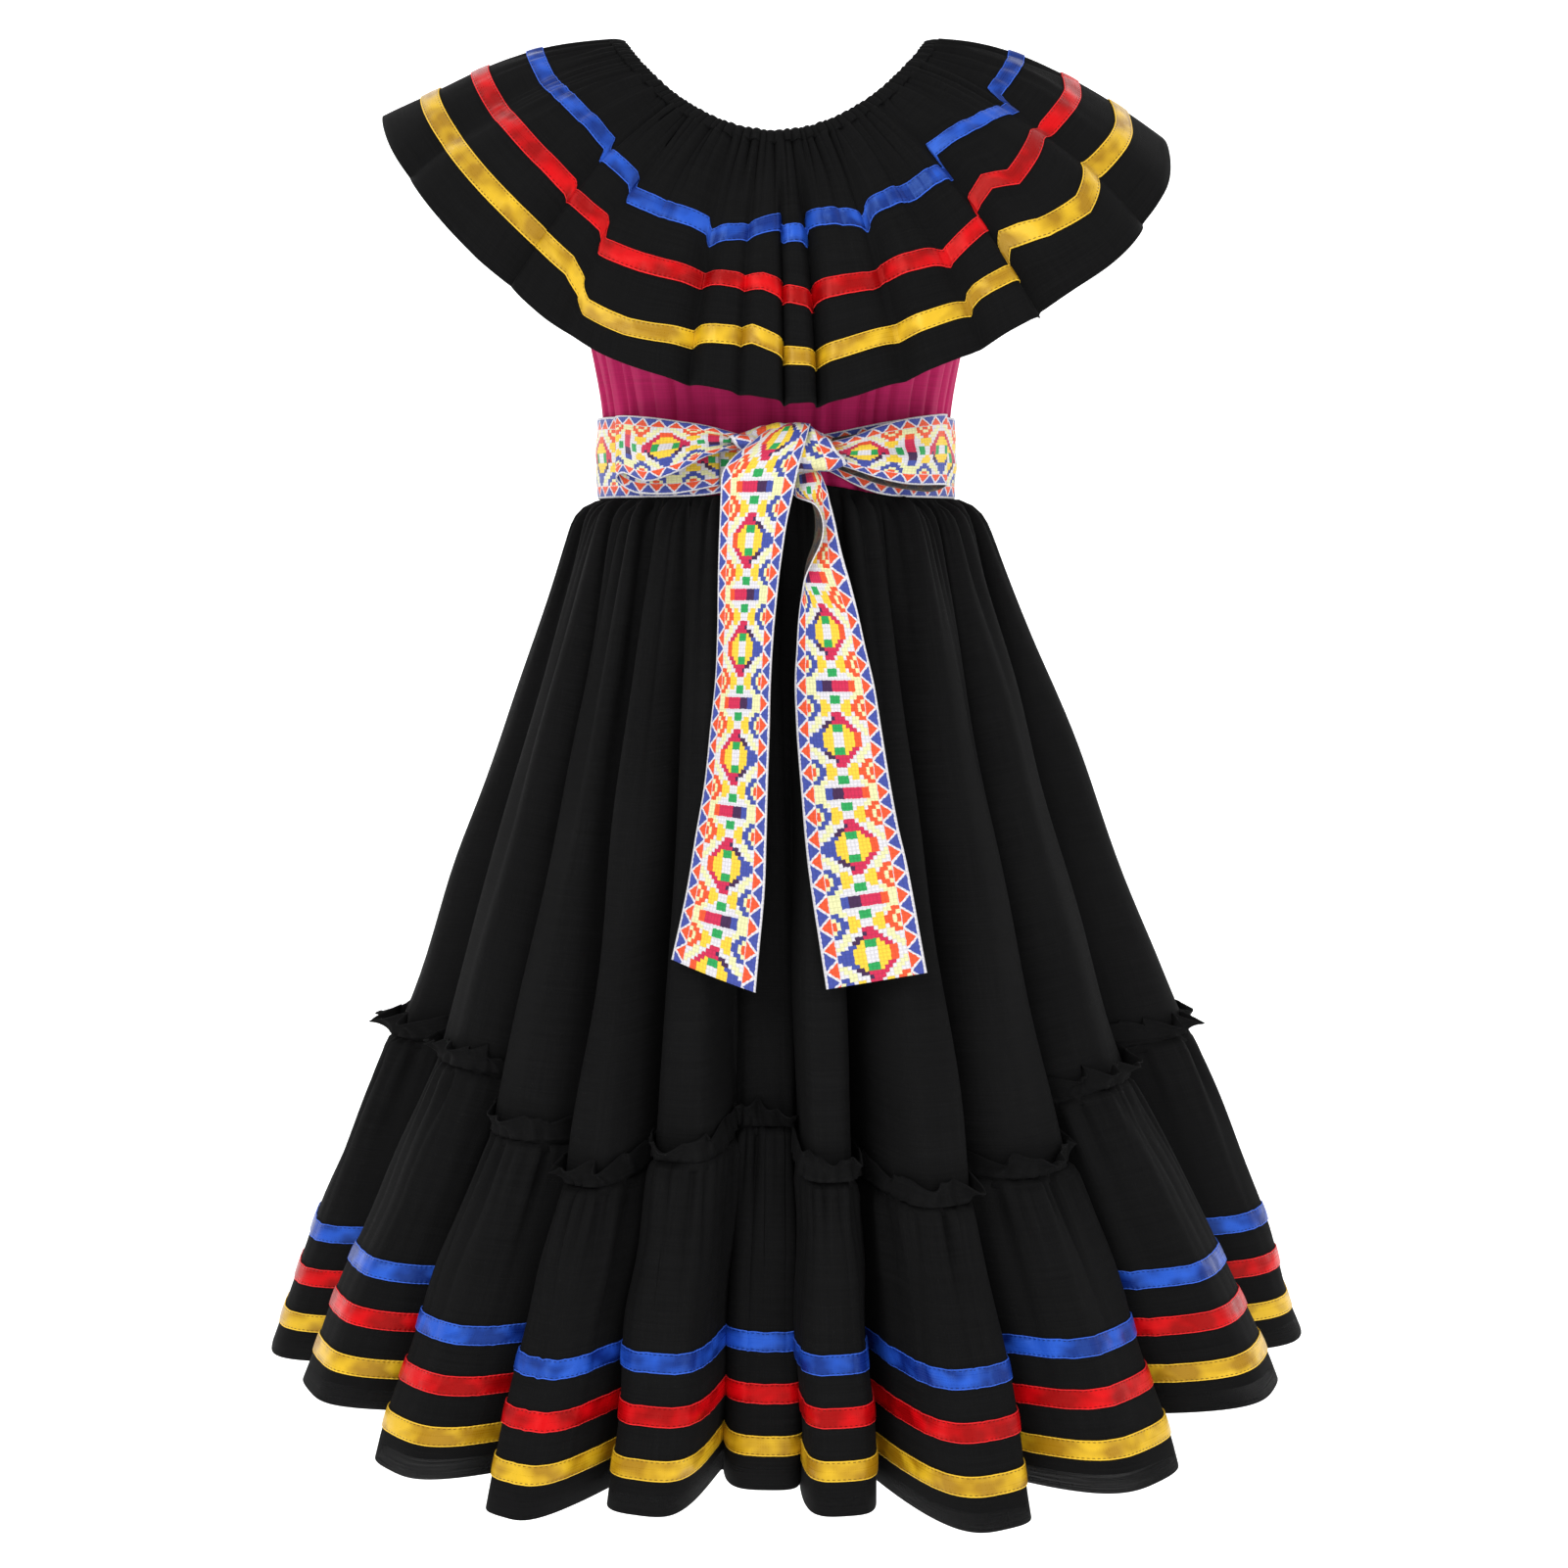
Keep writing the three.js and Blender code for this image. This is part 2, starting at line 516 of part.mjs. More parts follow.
function makeSash(group) {
  const wrap = [0, 0.5, 1].map((share) =>
    Array.from({ length: sash.stations }, (_, s) => {
      const off = sash.clear + sash.crown * Math.sin(Math.PI * share);
      return sashPoint((360 * s) / sash.stations, off, sash.topZ - sash.width * share);
    }),
  );
  group.add(wallOf("sash_wrap", sheetFrom([0, 0.5, 1], wrap, true), materials.jacquard));

  for (const [name, rows] of [
    ["sash_loop_left", leftLoop],
    ["sash_loop_right", rightLoop],
  ]) {
    const skin = sash.clear + sash.crown + cloth / 2; // the wrap's outer face
    const points = [0, 0.5, 1].map((share) =>
      halved(rows).map((row) => sashPoint(row.bearing, skin + row.off, mix(row.top, row.bottom, share))),
    );
    group.add(wallOf(name, sheetFrom([], points, false), materials.jacquard));
  }

  // The knot is one turn of the sash, open at both ends and behind.
  const knotPoints = [-1, -0.4, 0.4, 1].map((across) => {
    const size = 1 - knot.pinch * across ** 2;
    return Array.from({ length: knotTurn.stations + 1 }, (_, s) => {
      const turn = mix(180 - knotTurn.open, -180 + knotTurn.open, s / knotTurn.stations);
      const angle = turn * degree;
      return new THREE.Vector3(
        knot.centreX + knot.halfWidth * across,
        knot.centreY - knot.deep * Math.cos(angle) * (Math.abs(turn) > knotTurn.flat ? 1 : size),
        knot.centreZ + knot.tall * Math.sin(angle) * size,
      );
    });
  });
  group.add(wallOf("sash_knot", sheetFrom([], knotPoints, false), materials.jacquard));

  for (const [name, rows] of [
    ["sash_tail_left", leftTail],
    ["sash_tail_right", rightTail],
  ]) {
    const points = rows.map(({ z, slant, left, right, leftY, rightY }) =>
      [0, 0.5, 1].map(
        (share) => new THREE.Vector3(mix(left, right, share), mix(leftY, rightY, share), z + slant * share),
      ),
    );
    group.add(wallOf(name, sheetFrom([], points, false), materials.jacquard));
  }
}

const dress = new THREE.Group();
makeNeck(dress);
dress.add(bodicePanel("bodice_front", -1));
dress.add(bodicePanel("bodice_back", 1));
makeSkirt(dress);
makeSash(dress);

export default dress;
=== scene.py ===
import math

import bpy
import numpy as np
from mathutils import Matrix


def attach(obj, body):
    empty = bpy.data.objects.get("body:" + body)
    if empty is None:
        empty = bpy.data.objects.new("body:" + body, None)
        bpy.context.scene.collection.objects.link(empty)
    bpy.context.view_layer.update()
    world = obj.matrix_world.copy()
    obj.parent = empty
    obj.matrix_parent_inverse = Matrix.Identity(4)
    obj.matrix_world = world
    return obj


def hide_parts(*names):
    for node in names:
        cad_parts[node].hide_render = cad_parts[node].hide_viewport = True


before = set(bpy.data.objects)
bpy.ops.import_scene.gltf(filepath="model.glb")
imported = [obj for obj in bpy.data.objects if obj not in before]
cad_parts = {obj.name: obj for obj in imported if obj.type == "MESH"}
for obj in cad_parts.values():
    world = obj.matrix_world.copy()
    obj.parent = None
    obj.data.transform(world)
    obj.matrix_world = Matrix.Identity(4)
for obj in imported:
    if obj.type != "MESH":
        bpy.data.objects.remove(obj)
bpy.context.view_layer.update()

# Tables and sizes are in millimetres and degrees; a bearing runs from the front (-Y) towards +X.
mm = 0.001
radian = math.pi / 180
ribbonWidth, sashWidth = 10, 50


# Camera and lamps, in metres; focal is in widths of the frame.

camera = dict(at=(0.0014, -1.375, -0.2748), pitch=-5.5, focal=2500 / 1601, sensor=36, clip=(0.05, 50))
lamps = [  # name, place, aim, size, watts
    ("key", (-1.3, -2.0, 1.3), (0, 0, -0.3), (1.6, 1.6), 34),
    ("fill", (1.7, -1.9, 0.5), (0, 0, -0.4), (1.4, 2.0), 15),
    ("low", (0.0, -2.6, -0.5), (0, 0, -0.6), (2.2, 0.8), 5),
    ("rimLeft", (-1.7, 1.2, 0.7), (0, 0, -0.3), (0.7, 1.6), 12),
    ("rimRight", (1.7, 1.2, 0.7), (0, 0, -0.3), (0.7, 1.6), 12),
]
air = dict(colour=(1, 1, 1, 1), strength=0.72)


def makeCamera():
    data = bpy.data.cameras.new("camera")
    data.sensor_width = camera["sensor"]
    data.lens = camera["focal"] * camera["sensor"]
    data.clip_start, data.clip_end = camera["clip"]
    view = bpy.data.objects.new("camera", data)
    view.location = camera["at"]
    view.rotation_euler = ((90 + camera["pitch"]) * radian, 0, 0)
    bpy.context.collection.objects.link(view)
    bpy.context.scene.camera = view


def makeLamps():
    for name, place, aim, size, watts in lamps:
        data = bpy.data.lights.new(name, "AREA")
        data.shape = "RECTANGLE"
        data.size, data.size_y = size
        data.energy = watts
        lamp = bpy.data.objects.new(name, data)
        x, y, z = np.array(place) - np.array(aim)
        lamp.location = place
        lamp.rotation_euler = (math.atan2(math.hypot(x, y), z), 0, math.atan2(x, -y))
        bpy.context.collection.objects.link(lamp)
    world = bpy.data.worlds.new("air")
    bpy.context.scene.world = world
    world.use_nodes = True
    sky = world.node_tree.nodes["Background"].inputs
    sky["Color"].default_value = air["colour"]
    sky["Strength"].default_value = air["strength"]
    bpy.context.scene.view_settings.view_transform = "Standard"


makeCamera()
makeLamps()
print("camera and lamps: done")


# Short ways to place shader nodes.

def feed(tree, node, values):
    # Each value is set on its input, or linked to it if it comes out of another node.
    for key, value in values.items():
        if isinstance(value, bpy.types.NodeSocket):
            tree.links.new(value, node.inputs[key])
        else:
            node.inputs[key].default_value = value
    return node


def addNode(tree, kind, inputs=None, **settings):
    node = tree.nodes.new("ShaderNode" + kind)
    for key, value in settings.items():
        setattr(node, key, value)
    return feed(tree, node, inputs or {})


def calc(tree, operation, *values):
    return addNode(tree, "Math", dict(enumerate(values)), operation=operation).outputs[0]


def remap(tree, value, low, high, to=(0.0, 1.0)):
    ends = {"Value": value, "From Min": low, "From Max": high, "To Min": to[0], "To Max": to[1]}
    return addNode(tree, "MapRange", ends).outputs[0]


def blendColours(tree, share, first, second, way="MIX"):
    return addNode(tree, "Mix", {0: share, 6: first, 7: second}, data_type="RGBA", blend_type=way).outputs[2]


def stretched(tree, vector, scale):
    return addNode(tree, "Mapping", {"Vector": vector, "Scale": scale}).outputs[0]


def axesOf(tree, vector):
    return addNode(tree, "SeparateXYZ", {0: vector}).outputs


def noiseOf(tree, vector, scale=1.0, detail=2.0):
    return addNode(tree, "TexNoise", {"Vector": vector, "Scale": scale, "Detail": detail}).outputs


def newGroup(name, inputs, outputs):
    tree = bpy.data.node_groups.new(name, "ShaderNodeTree")
    for socket, kind in inputs:
        tree.interface.new_socket(socket, in_out="INPUT", socket_type="NodeSocket" + kind)
    for socket, kind in outputs:
        tree.interface.new_socket(socket, in_out="OUTPUT", socket_type="NodeSocket" + kind)
    return tree, tree.nodes.new("NodeGroupInput").outputs, tree.nodes.new("NodeGroupOutput")


def placeGroup(tree, group, **values):
    return addNode(tree, "Group", values, node_tree=group).outputs


weaving = dict(threads=(18, 1500), flatShare=0.62, streak=(0.36, 0.64), streakShare=0.6, patch=14.0)


def makeWeave():
    # Plain weave: the product of two sines, with threads of uneven thickness run both ways.
    tree, given, made = newGroup(
        "weave",
        [("Vector", "Vector"), ("Pitch", "Float"), ("Slub", "Float")],
        [("Height", "Float"), ("Tone", "Float"), ("Streak", "Float")],
    )
    place = given["Vector"]
    axes = axesOf(tree, place)
    turns = calc(tree, "DIVIDE", math.pi / mm, given["Pitch"])
    across, down = (calc(tree, "SINE", calc(tree, "MULTIPLY", axes[k], turns)) for k in (0, 1))
    checks = calc(tree, "MULTIPLY_ADD", calc(tree, "MULTIPLY", across, down), 0.5, 0.5)
    coarse, fine = weaving["threads"]
    flat = noiseOf(tree, stretched(tree, place, (coarse, fine, 1)))[0]
    tall = noiseOf(tree, stretched(tree, place, (fine, coarse, 1)))[0]
    patch = noiseOf(tree, place, weaving["patch"], 3.0)[0]
    share = weaving["flatShare"]
    streak = calc(tree, "MULTIPLY_ADD", flat, share, calc(tree, "MULTIPLY", tall, 1 - share))
    streak = remap(tree, streak, *weaving["streak"])
    height = calc(tree, "MULTIPLY_ADD", streak, given["Slub"], checks)
    share = weaving["streakShare"]
    tone = calc(tree, "MULTIPLY_ADD", streak, share, calc(tree, "MULTIPLY", patch, 1 - share))
    feed(tree, made, dict(Height=height, Tone=tone, Streak=streak))
    return tree


edgeSeam = dict(selvedge=0.42, at=0.95, half=0.2, pitch=2.6, gap=0.24, slackRun=2.4)


def makeEdging():
    # Masks of a satin ribbon: the selvedge, the stitches inside it and the slack between them.
    tree, given, made = newGroup(
        "edging", [("Vector", "Vector")], [("Selvedge", "Float"), ("Stitch", "Float"), ("Slack", "Float")]
    )
    half = ribbonWidth / 2
    axes = axesOf(tree, stretched(tree, given["Vector"], (1 / mm, 1 / mm, 1)))
    inwards = calc(tree, "SUBTRACT", half, calc(tree, "ABSOLUTE", calc(tree, "SUBTRACT", axes[1], half)))
    selvedge = calc(tree, "LESS_THAN", inwards, edgeSeam["selvedge"])
    step = calc(tree, "PINGPONG", calc(tree, "DIVIDE", axes[0], edgeSeam["pitch"]), 0.5)
    fromLine = calc(tree, "ABSOLUTE", calc(tree, "SUBTRACT", inwards, edgeSeam["at"]))
    line = calc(tree, "LESS_THAN", fromLine, edgeSeam["half"])
    stitch = calc(tree, "MULTIPLY", line, calc(tree, "GREATER_THAN", step, edgeSeam["gap"]))
    far = calc(tree, "MINIMUM", calc(tree, "DIVIDE", inwards, edgeSeam["slackRun"]), 1.0)
    slack = calc(tree, "MULTIPLY", calc(tree, "SUBTRACT", 1.0, far), step)
    feed(tree, made, dict(Selvedge=selvedge, Stitch=stitch, Slack=slack))
    return tree


yarns = dict(
    w=(0.74, 0.72, 0.76, 1),
    c=(0.62, 0.012, 0.075, 1),
    p=(0.045, 0.008, 0.065, 1),
    n=(0.045, 0.07, 0.36, 1),
    o=(0.85, 0.085, 0.018, 1),
    y=(0.92, 0.62, 0.04, 1),
    l=(0.80, 0.79, 0.42, 1),
    g=(0.012, 0.36, 0.085, 1),
)
sashWeave = dict(selvedge=1.25, border=6.5, rim=0.94, repeat=56, triangle=5.6, line=0.13)
sashShake = dict(most=0.22, scale=700.0)
sashThreads = dict(fine=0.62, cross=0.9, cell=2.03, round=0.45)
sashRows = [  # from the middle of a medallion to the middle of a bar: where a row ends, its cells of yarn
    (2, "wwooyyywwwyyynnnn"),
    (4, "lwooyyywwwyyynnnw"),
    (6, "llwccyygggyynnwll"),
    (8, "wllwccygggyppwllw"),
    (10, "wwllwcccccppwllww"),
    (12.2, "oollwwcccpwwwllnn"),
    (14.5, "loowyywcccwyywnnl"),
    (16.5, "olooyyywwwyyynnlo"),
    (18.8, "olooyyywwwyyynnlo"),
    (21, "loowyywgggwyywnnl"),
    (23.2, "oollwwwgggwwwllnn"),
    (25, "lllwwwwwwwwwwwlll"),
    (28, "lloocccccpppnnlll"),
]


def makeSashWeave():
    # Rows of yarn blocks mirrored about each medallion and each bar, between two rows of triangles.
    tree, given, made = newGroup(
        "sashWeave", [("Vector", "Vector")], [("Color", "Color"), ("Height", "Float"), ("Thread", "Float")]
    )
    size, half = sashWeave, sashWidth / 2
    whole = axesOf(tree, stretched(tree, given["Vector"], (1 / mm, 1 / mm, 1)))
    shaken = axesOf(tree, noiseOf(tree, given["Vector"], sashShake["scale"], 1.0)["Color"])
    ends = (-sashShake["most"], sashShake["most"])
    along, across = (calc(tree, "ADD", whole[k], remap(tree, shaken[k], 0.3, 0.7, ends)) for k in (0, 1))
    edge = size["selvedge"] + size["border"]
    cells = calc(tree, "DIVIDE", calc(tree, "SUBTRACT", across, edge), sashWidth - 2 * edge)
    fromMedallion = calc(tree, "PINGPONG", along, size["repeat"] / 2)
    colour = None
    for end, letters in reversed(sashRows):
        ramp = addNode(tree, "ValToRGB", {0: cells})
        ramp.color_ramp.interpolation = "CONSTANT"
        stops = ramp.color_ramp.elements
        stops.remove(stops[1])
        stops[0].position = 0
        stops[0].color = yarns[letters[0]]
        for k in range(1, len(letters)):
            if letters[k] != letters[k - 1]:
                stops.new(k / len(letters)).color = yarns[letters[k]]
        if colour is None:
            colour = ramp.outputs[0]
        else:
            colour = blendColours(tree, calc(tree, "LESS_THAN", fromMedallion, end), colour, ramp.outputs[0])
    inwards = calc(tree, "SUBTRACT", half, calc(tree, "ABSOLUTE", calc(tree, "SUBTRACT", across, half)))
    depth = calc(tree, "DIVIDE", calc(tree, "SUBTRACT", inwards, size["selvedge"]), size["border"])
    teeth = calc(tree, "PINGPONG", calc(tree, "DIVIDE", along, size["triangle"]), 1.0)
    wedge = calc(tree, "ADD", teeth, depth)
    border = yarns["w"]
    for mask, yarn in (
        (calc(tree, "LESS_THAN", wedge, 1 - size["line"]), "n"),
        (calc(tree, "GREATER_THAN", wedge, 1 + size["line"]), "o"),
        (calc(tree, "LESS_THAN", inwards, size["selvedge"]), "w"),
        (calc(tree, "GREATER_THAN", depth, size["rim"]), "w"),
    ):
        border = blendColours(tree, mask, border, yarns[yarn])
    colour = blendColours(tree, calc(tree, "GREATER_THAN", depth, 1.0), border, colour)
    fine = calc(tree, "SINE", calc(tree, "MULTIPLY", whole[1], 2 * math.pi / sashThreads["fine"]))
    cross = calc(tree, "SINE", calc(tree, "MULTIPLY", whole[0], 2 * math.pi / sashThreads["cross"]))
    thread = calc(tree, "MULTIPLY_ADD", fine, 0.35, calc(tree, "MULTIPLY_ADD", cross, 0.15, 0.5))
    yarnAcross = calc(tree, "PINGPONG", calc(tree, "MULTIPLY", cells, len(sashRows[0][1])), 0.5)
    yarnAlong = calc(tree, "PINGPONG", calc(tree, "DIVIDE", fromMedallion, sashThreads["cell"]), 0.5)
    pillow = calc(tree, "MULTIPLY", calc(tree, "MULTIPLY", yarnAcross, 4.0), yarnAlong)
    pillow = calc(tree, "POWER", calc(tree, "MAXIMUM", pillow, 0.0), sashThreads["round"])
    # The colour is darkened between threads and towards the edges of each yarn block, where the relief dips:
    # painted shade of the woven relief.
    tone = calc(tree, "MULTIPLY_ADD", thread, 0.3, calc(tree, "MULTIPLY_ADD", pillow, 0.28, 0.55))
    colour = blendColours(tree, 1.0, colour, tone, "MULTIPLY")
    height = calc(tree, "MULTIPLY_ADD", thread, 0.3, pillow)
    feed(tree, made, dict(Color=colour, Height=height, Thread=thread))
    return tree


weave = makeWeave()
edging = makeEdging()
sashPattern = makeSashWeave()


def newMaterial(name):
    material = bpy.data.materials.new(name)
    material.use_nodes = True
    tree = material.node_tree
    shader = tree.nodes["Principled BSDF"]
    place = addNode(tree, "TexCoord").outputs["UV"]
    return material, tree, shader, place


def bumped(tree, height, strength, distance):
    inputs = {"Height": height, "Strength": strength, "Distance": distance * mm}
    return addNode(tree, "Bump", inputs).outputs[0]


lint = dict(apart=17.0, size=0.0085, bare=0.72, colour=(0.13, 0.125, 0.12, 1))


def specksOf(tree, place):
    # Lint: tiny pale dots, few and far between.
    cells = addNode(tree, "TexVoronoi", {"Vector": place, "Scale": lint["apart"]})
    pale = axesOf(tree, cells.outputs["Color"])[0]
    dot = calc(tree, "LESS_THAN", cells.outputs["Distance"], lint["size"])
    return calc(tree, "MULTIPLY", dot, calc(tree, "GREATER_THAN", pale, lint["bare"]))


blackCotton = dict(
    dark=(0.0024, 0.0024, 0.0025, 1),
    light=(0.0080, 0.0080, 0.0082, 1),
    pitch=0.48,
    slub=1.1,
    rough=(0.78, 0.96),
    bump=(0.4, 0.16),
    finish={"Specular IOR Level": 0.055, "Sheen Weight": 0.003, "Sheen Roughness": 0.5},
)
magentaCotton = dict(
    dark=(0.29, 0.007, 0.060, 1),
    light=(0.50, 0.016, 0.118, 1),
    pitch=0.45,
    slub=0.9,
    rough=(0.62, 0.82),
    bump=(0.35, 0.12),
    finish={
        "Specular IOR Level": 0.2,
        "Specular Tint": (1, 0.6, 0.75, 1),
        "Sheen Weight": 0.04,
        "Sheen Roughness": 0.4,
        "Sheen Tint": (1, 0.4, 0.6, 1),
    },
)
sheer = dict(cover=(0.84, 0.98), patch=6.5, worn=(0.48, 0.6), least=0.15)


def makeCotton(name, look, specks=False, worn=False):
    # Plain cotton, with lint where there are specks, and thinner in patches where it is worn.
    material, tree, shader, place = newMaterial(name)
    threads = placeGroup(tree, weave, Vector=place, Pitch=look["pitch"], Slub=look["slub"])
    colour = blendColours(tree, threads["Tone"], look["dark"], look["light"])
    if specks:
        colour = blendColours(tree, specksOf(tree, place), colour, lint["colour"])
    rough = remap(tree, threads["Streak"], 0, 1, look["rough"])
    normal = bumped(tree, threads["Height"], *look["bump"])
    feed(tree, shader, {"Base Color": colour, "Roughness": rough, "Normal": normal, **look["finish"]})
    if worn:
        patch = remap(tree, noiseOf(tree, place, sheer["patch"], 1.0)[0], *sheer["worn"], (sheer["least"], 1))
        gap = remap(tree, threads["Streak"], 0, 1, [1 - cover for cover in sheer["cover"]])
        feed(tree, shader, {"Alpha": calc(tree, "SUBTRACT", 1.0, calc(tree, "MULTIPLY", gap, patch))})
    return material


# Each satin has a painted shade colour, a painted sheen colour that its patches run up to, and the tint of
# its real specular.
satins = dict(
    blue=dict(deep=(0.004, 0.018, 0.16, 1), paintedSheen=(0.016, 0.078, 0.47, 1), tint=(0.2, 0.42, 1, 1)),
    red=dict(deep=(0.26, 0.001, 0.002, 1), paintedSheen=(0.58, 0.002, 0.005, 1), tint=(1, 0.14, 0.12, 1)),
    gold=dict(deep=(0.33, 0.165, 0.004, 1), paintedSheen=(0.66, 0.40, 0.014, 1), tint=(1, 0.8, 0.3, 1)),
)
satinFace = dict(
    pitch=0.24, slub=0.4, waves=(42, 60, 1), shade=(0.42, 0.6), rough=(0.24, 0.38), bump=(0.9, 1.2),
    selvedge=1.3, selvedgeRough=0.6, buckle=1.7, slack=0.5, stitch=0.18, weave=0.02,
)


def makeSatin(name, colours):
    material, tree, shader, place = newMaterial(name + "Satin")
    face = satinFace
    edges = placeGroup(tree, edging, Vector=place)
    threads = placeGroup(tree, weave, Vector=place, Pitch=face["pitch"], Slub=face["slub"])
    # Soft noise patches along the ribbon buckle its surface, and the colour follows them from the painted
    # shade colour to the painted sheen colour: painted highlight patches.
    buckleAndSheen = noiseOf(tree, stretched(tree, place, face["waves"]))[0]
    pale = [min(1.0, value * face["selvedge"] + 0.02) for value in colours["paintedSheen"][:3]]
    seam = [value * 0.5 for value in colours["deep"][:3]]
    colour = blendColours(tree, remap(tree, buckleAndSheen, *face["shade"]), colours["deep"], colours["paintedSheen"])
    colour = blendColours(tree, edges["Selvedge"], colour, (*pale, 1))
    colour = blendColours(tree, edges["Stitch"], colour, (*seam, 1))
    rough = remap(tree, threads["Streak"], 0, 1, face["rough"])
    rough = calc(tree, "MAXIMUM", rough, calc(tree, "MULTIPLY", edges["Selvedge"], face["selvedgeRough"]))
    slack = calc(tree, "MULTIPLY", edges["Slack"], face["slack"])
    height = calc(tree, "MULTIPLY_ADD", buckleAndSheen, face["buckle"], slack)
    height = calc(tree, "SUBTRACT", height, calc(tree, "MULTIPLY", edges["Stitch"], face["stitch"]))
    height = calc(tree, "MULTIPLY_ADD", threads["Height"], face["weave"], height)
    normal = bumped(tree, height, *face["bump"])
    feed(tree, shader, {"Base Color": colour, "Roughness": rough, "Normal": normal})
    feed(tree, shader, {"Specular IOR Level": 0.7, "Specular Tint": colours["tint"], "Anisotropic": 0.35})
    return material


reverseSide = dict(waves=(160, 900, 1), mixed=(0.35, 0.65), ground=(0.55, 0.95))
reverseYarns = dict(dim=(0.34, 0.27, 0.17, 1), dark=(0.026, 0.020, 0.014, 1))


def makeSashCloth(name, reverse=False):
    # The reverse shows the floating yarns: the same pattern, dimmed, mixed with dark threads.
    material, tree, shader, place = newMaterial(name)
    pattern = placeGroup(tree, sashPattern, Vector=place)
    colour = pattern["Color"]
    if reverse:
        floats = noiseOf(tree, stretched(tree, place, reverseSide["waves"]))[0]
        mixed = remap(tree, floats, *reverseSide["mixed"], reverseSide["ground"])
        dim = blendColours(tree, 1.0, colour, reverseYarns["dim"], "MULTIPLY")
        colour = blendColours(tree, mixed, dim, reverseYarns["dark"])
    rough = remap(tree, pattern["Thread"], 0, 1, (0.46, 0.72))
    normal = bumped(tree, pattern["Height"], 0.6, 0.4)
    feed(tree, shader, {"Base Color": colour, "Roughness": rough, "Normal": normal})
    feed(tree, shader, {"Specular IOR Level": 0.35, "Sheen Weight": 0.1, "Sheen Roughness": 0.4})
    return material


black = makeCotton("blackCotton", blackCotton, specks=True)
gauze = makeCotton("blackGauze", blackCotton, specks=True, worn=True)
magenta = makeCotton("magentaCotton", magentaCotton)
satin = {name: makeSatin(name, colours) for name, colours in satins.items()}
sashFace = makeSashCloth("sashFace")
sashReverse = makeSashCloth("sashReverse", reverse=True)
print("materials: done")


# Cloth is a grid of points: rows from the top down, columns with the bearing.

def pointsOf(x, y, z):
    return np.stack(np.broadcast_arrays(x, y, z), -1)


def unitOf(vectors):
    return vectors / np.maximum(np.linalg.norm(vectors, axis=-1, keepdims=True), 1e-9)


def outwardOf(points, closed):
    # Unit normals: the direction down the rows crossed with the direction along the columns.
    down = np.gradient(points, axis=0)
    if closed:
        across = np.roll(points, -1, 1) - np.roll(points, 1, 1)
    else:
        across = np.gradient(points, axis=1)
    return unitOf(np.cross(unitOf(down), unitOf(across)))


def raised(points, off, closed):
    return points + outwardOf(points, closed) * off[..., None]


def sharesDown(count):
    return np.linspace(0, 1, count)[:, None]


def shareRound(ring):
    # The share of a closed ring's length at each of its points.
    along = lengthsAcross(ring.reshape(1, -1, 3), True)
    return along[:-1] / along[-1]


def lengthsDown(points):
    # Distance from the top row to each row, along each column.
    steps = np.linalg.norm(np.diff(points, axis=0), axis=-1)
    return np.concatenate([np.zeros((1, points.shape[1])), np.cumsum(steps, 0)])


def lengthsAcross(points, closed):
    # Distance along the longest row to each column, with the closing span after the last one.
    line = np.concatenate([points, points[:, :1]], 1) if closed else points
    steps = np.linalg.norm(np.diff(line, axis=1), axis=-1).max(0)
    return np.concatenate([[0], np.cumsum(steps)])


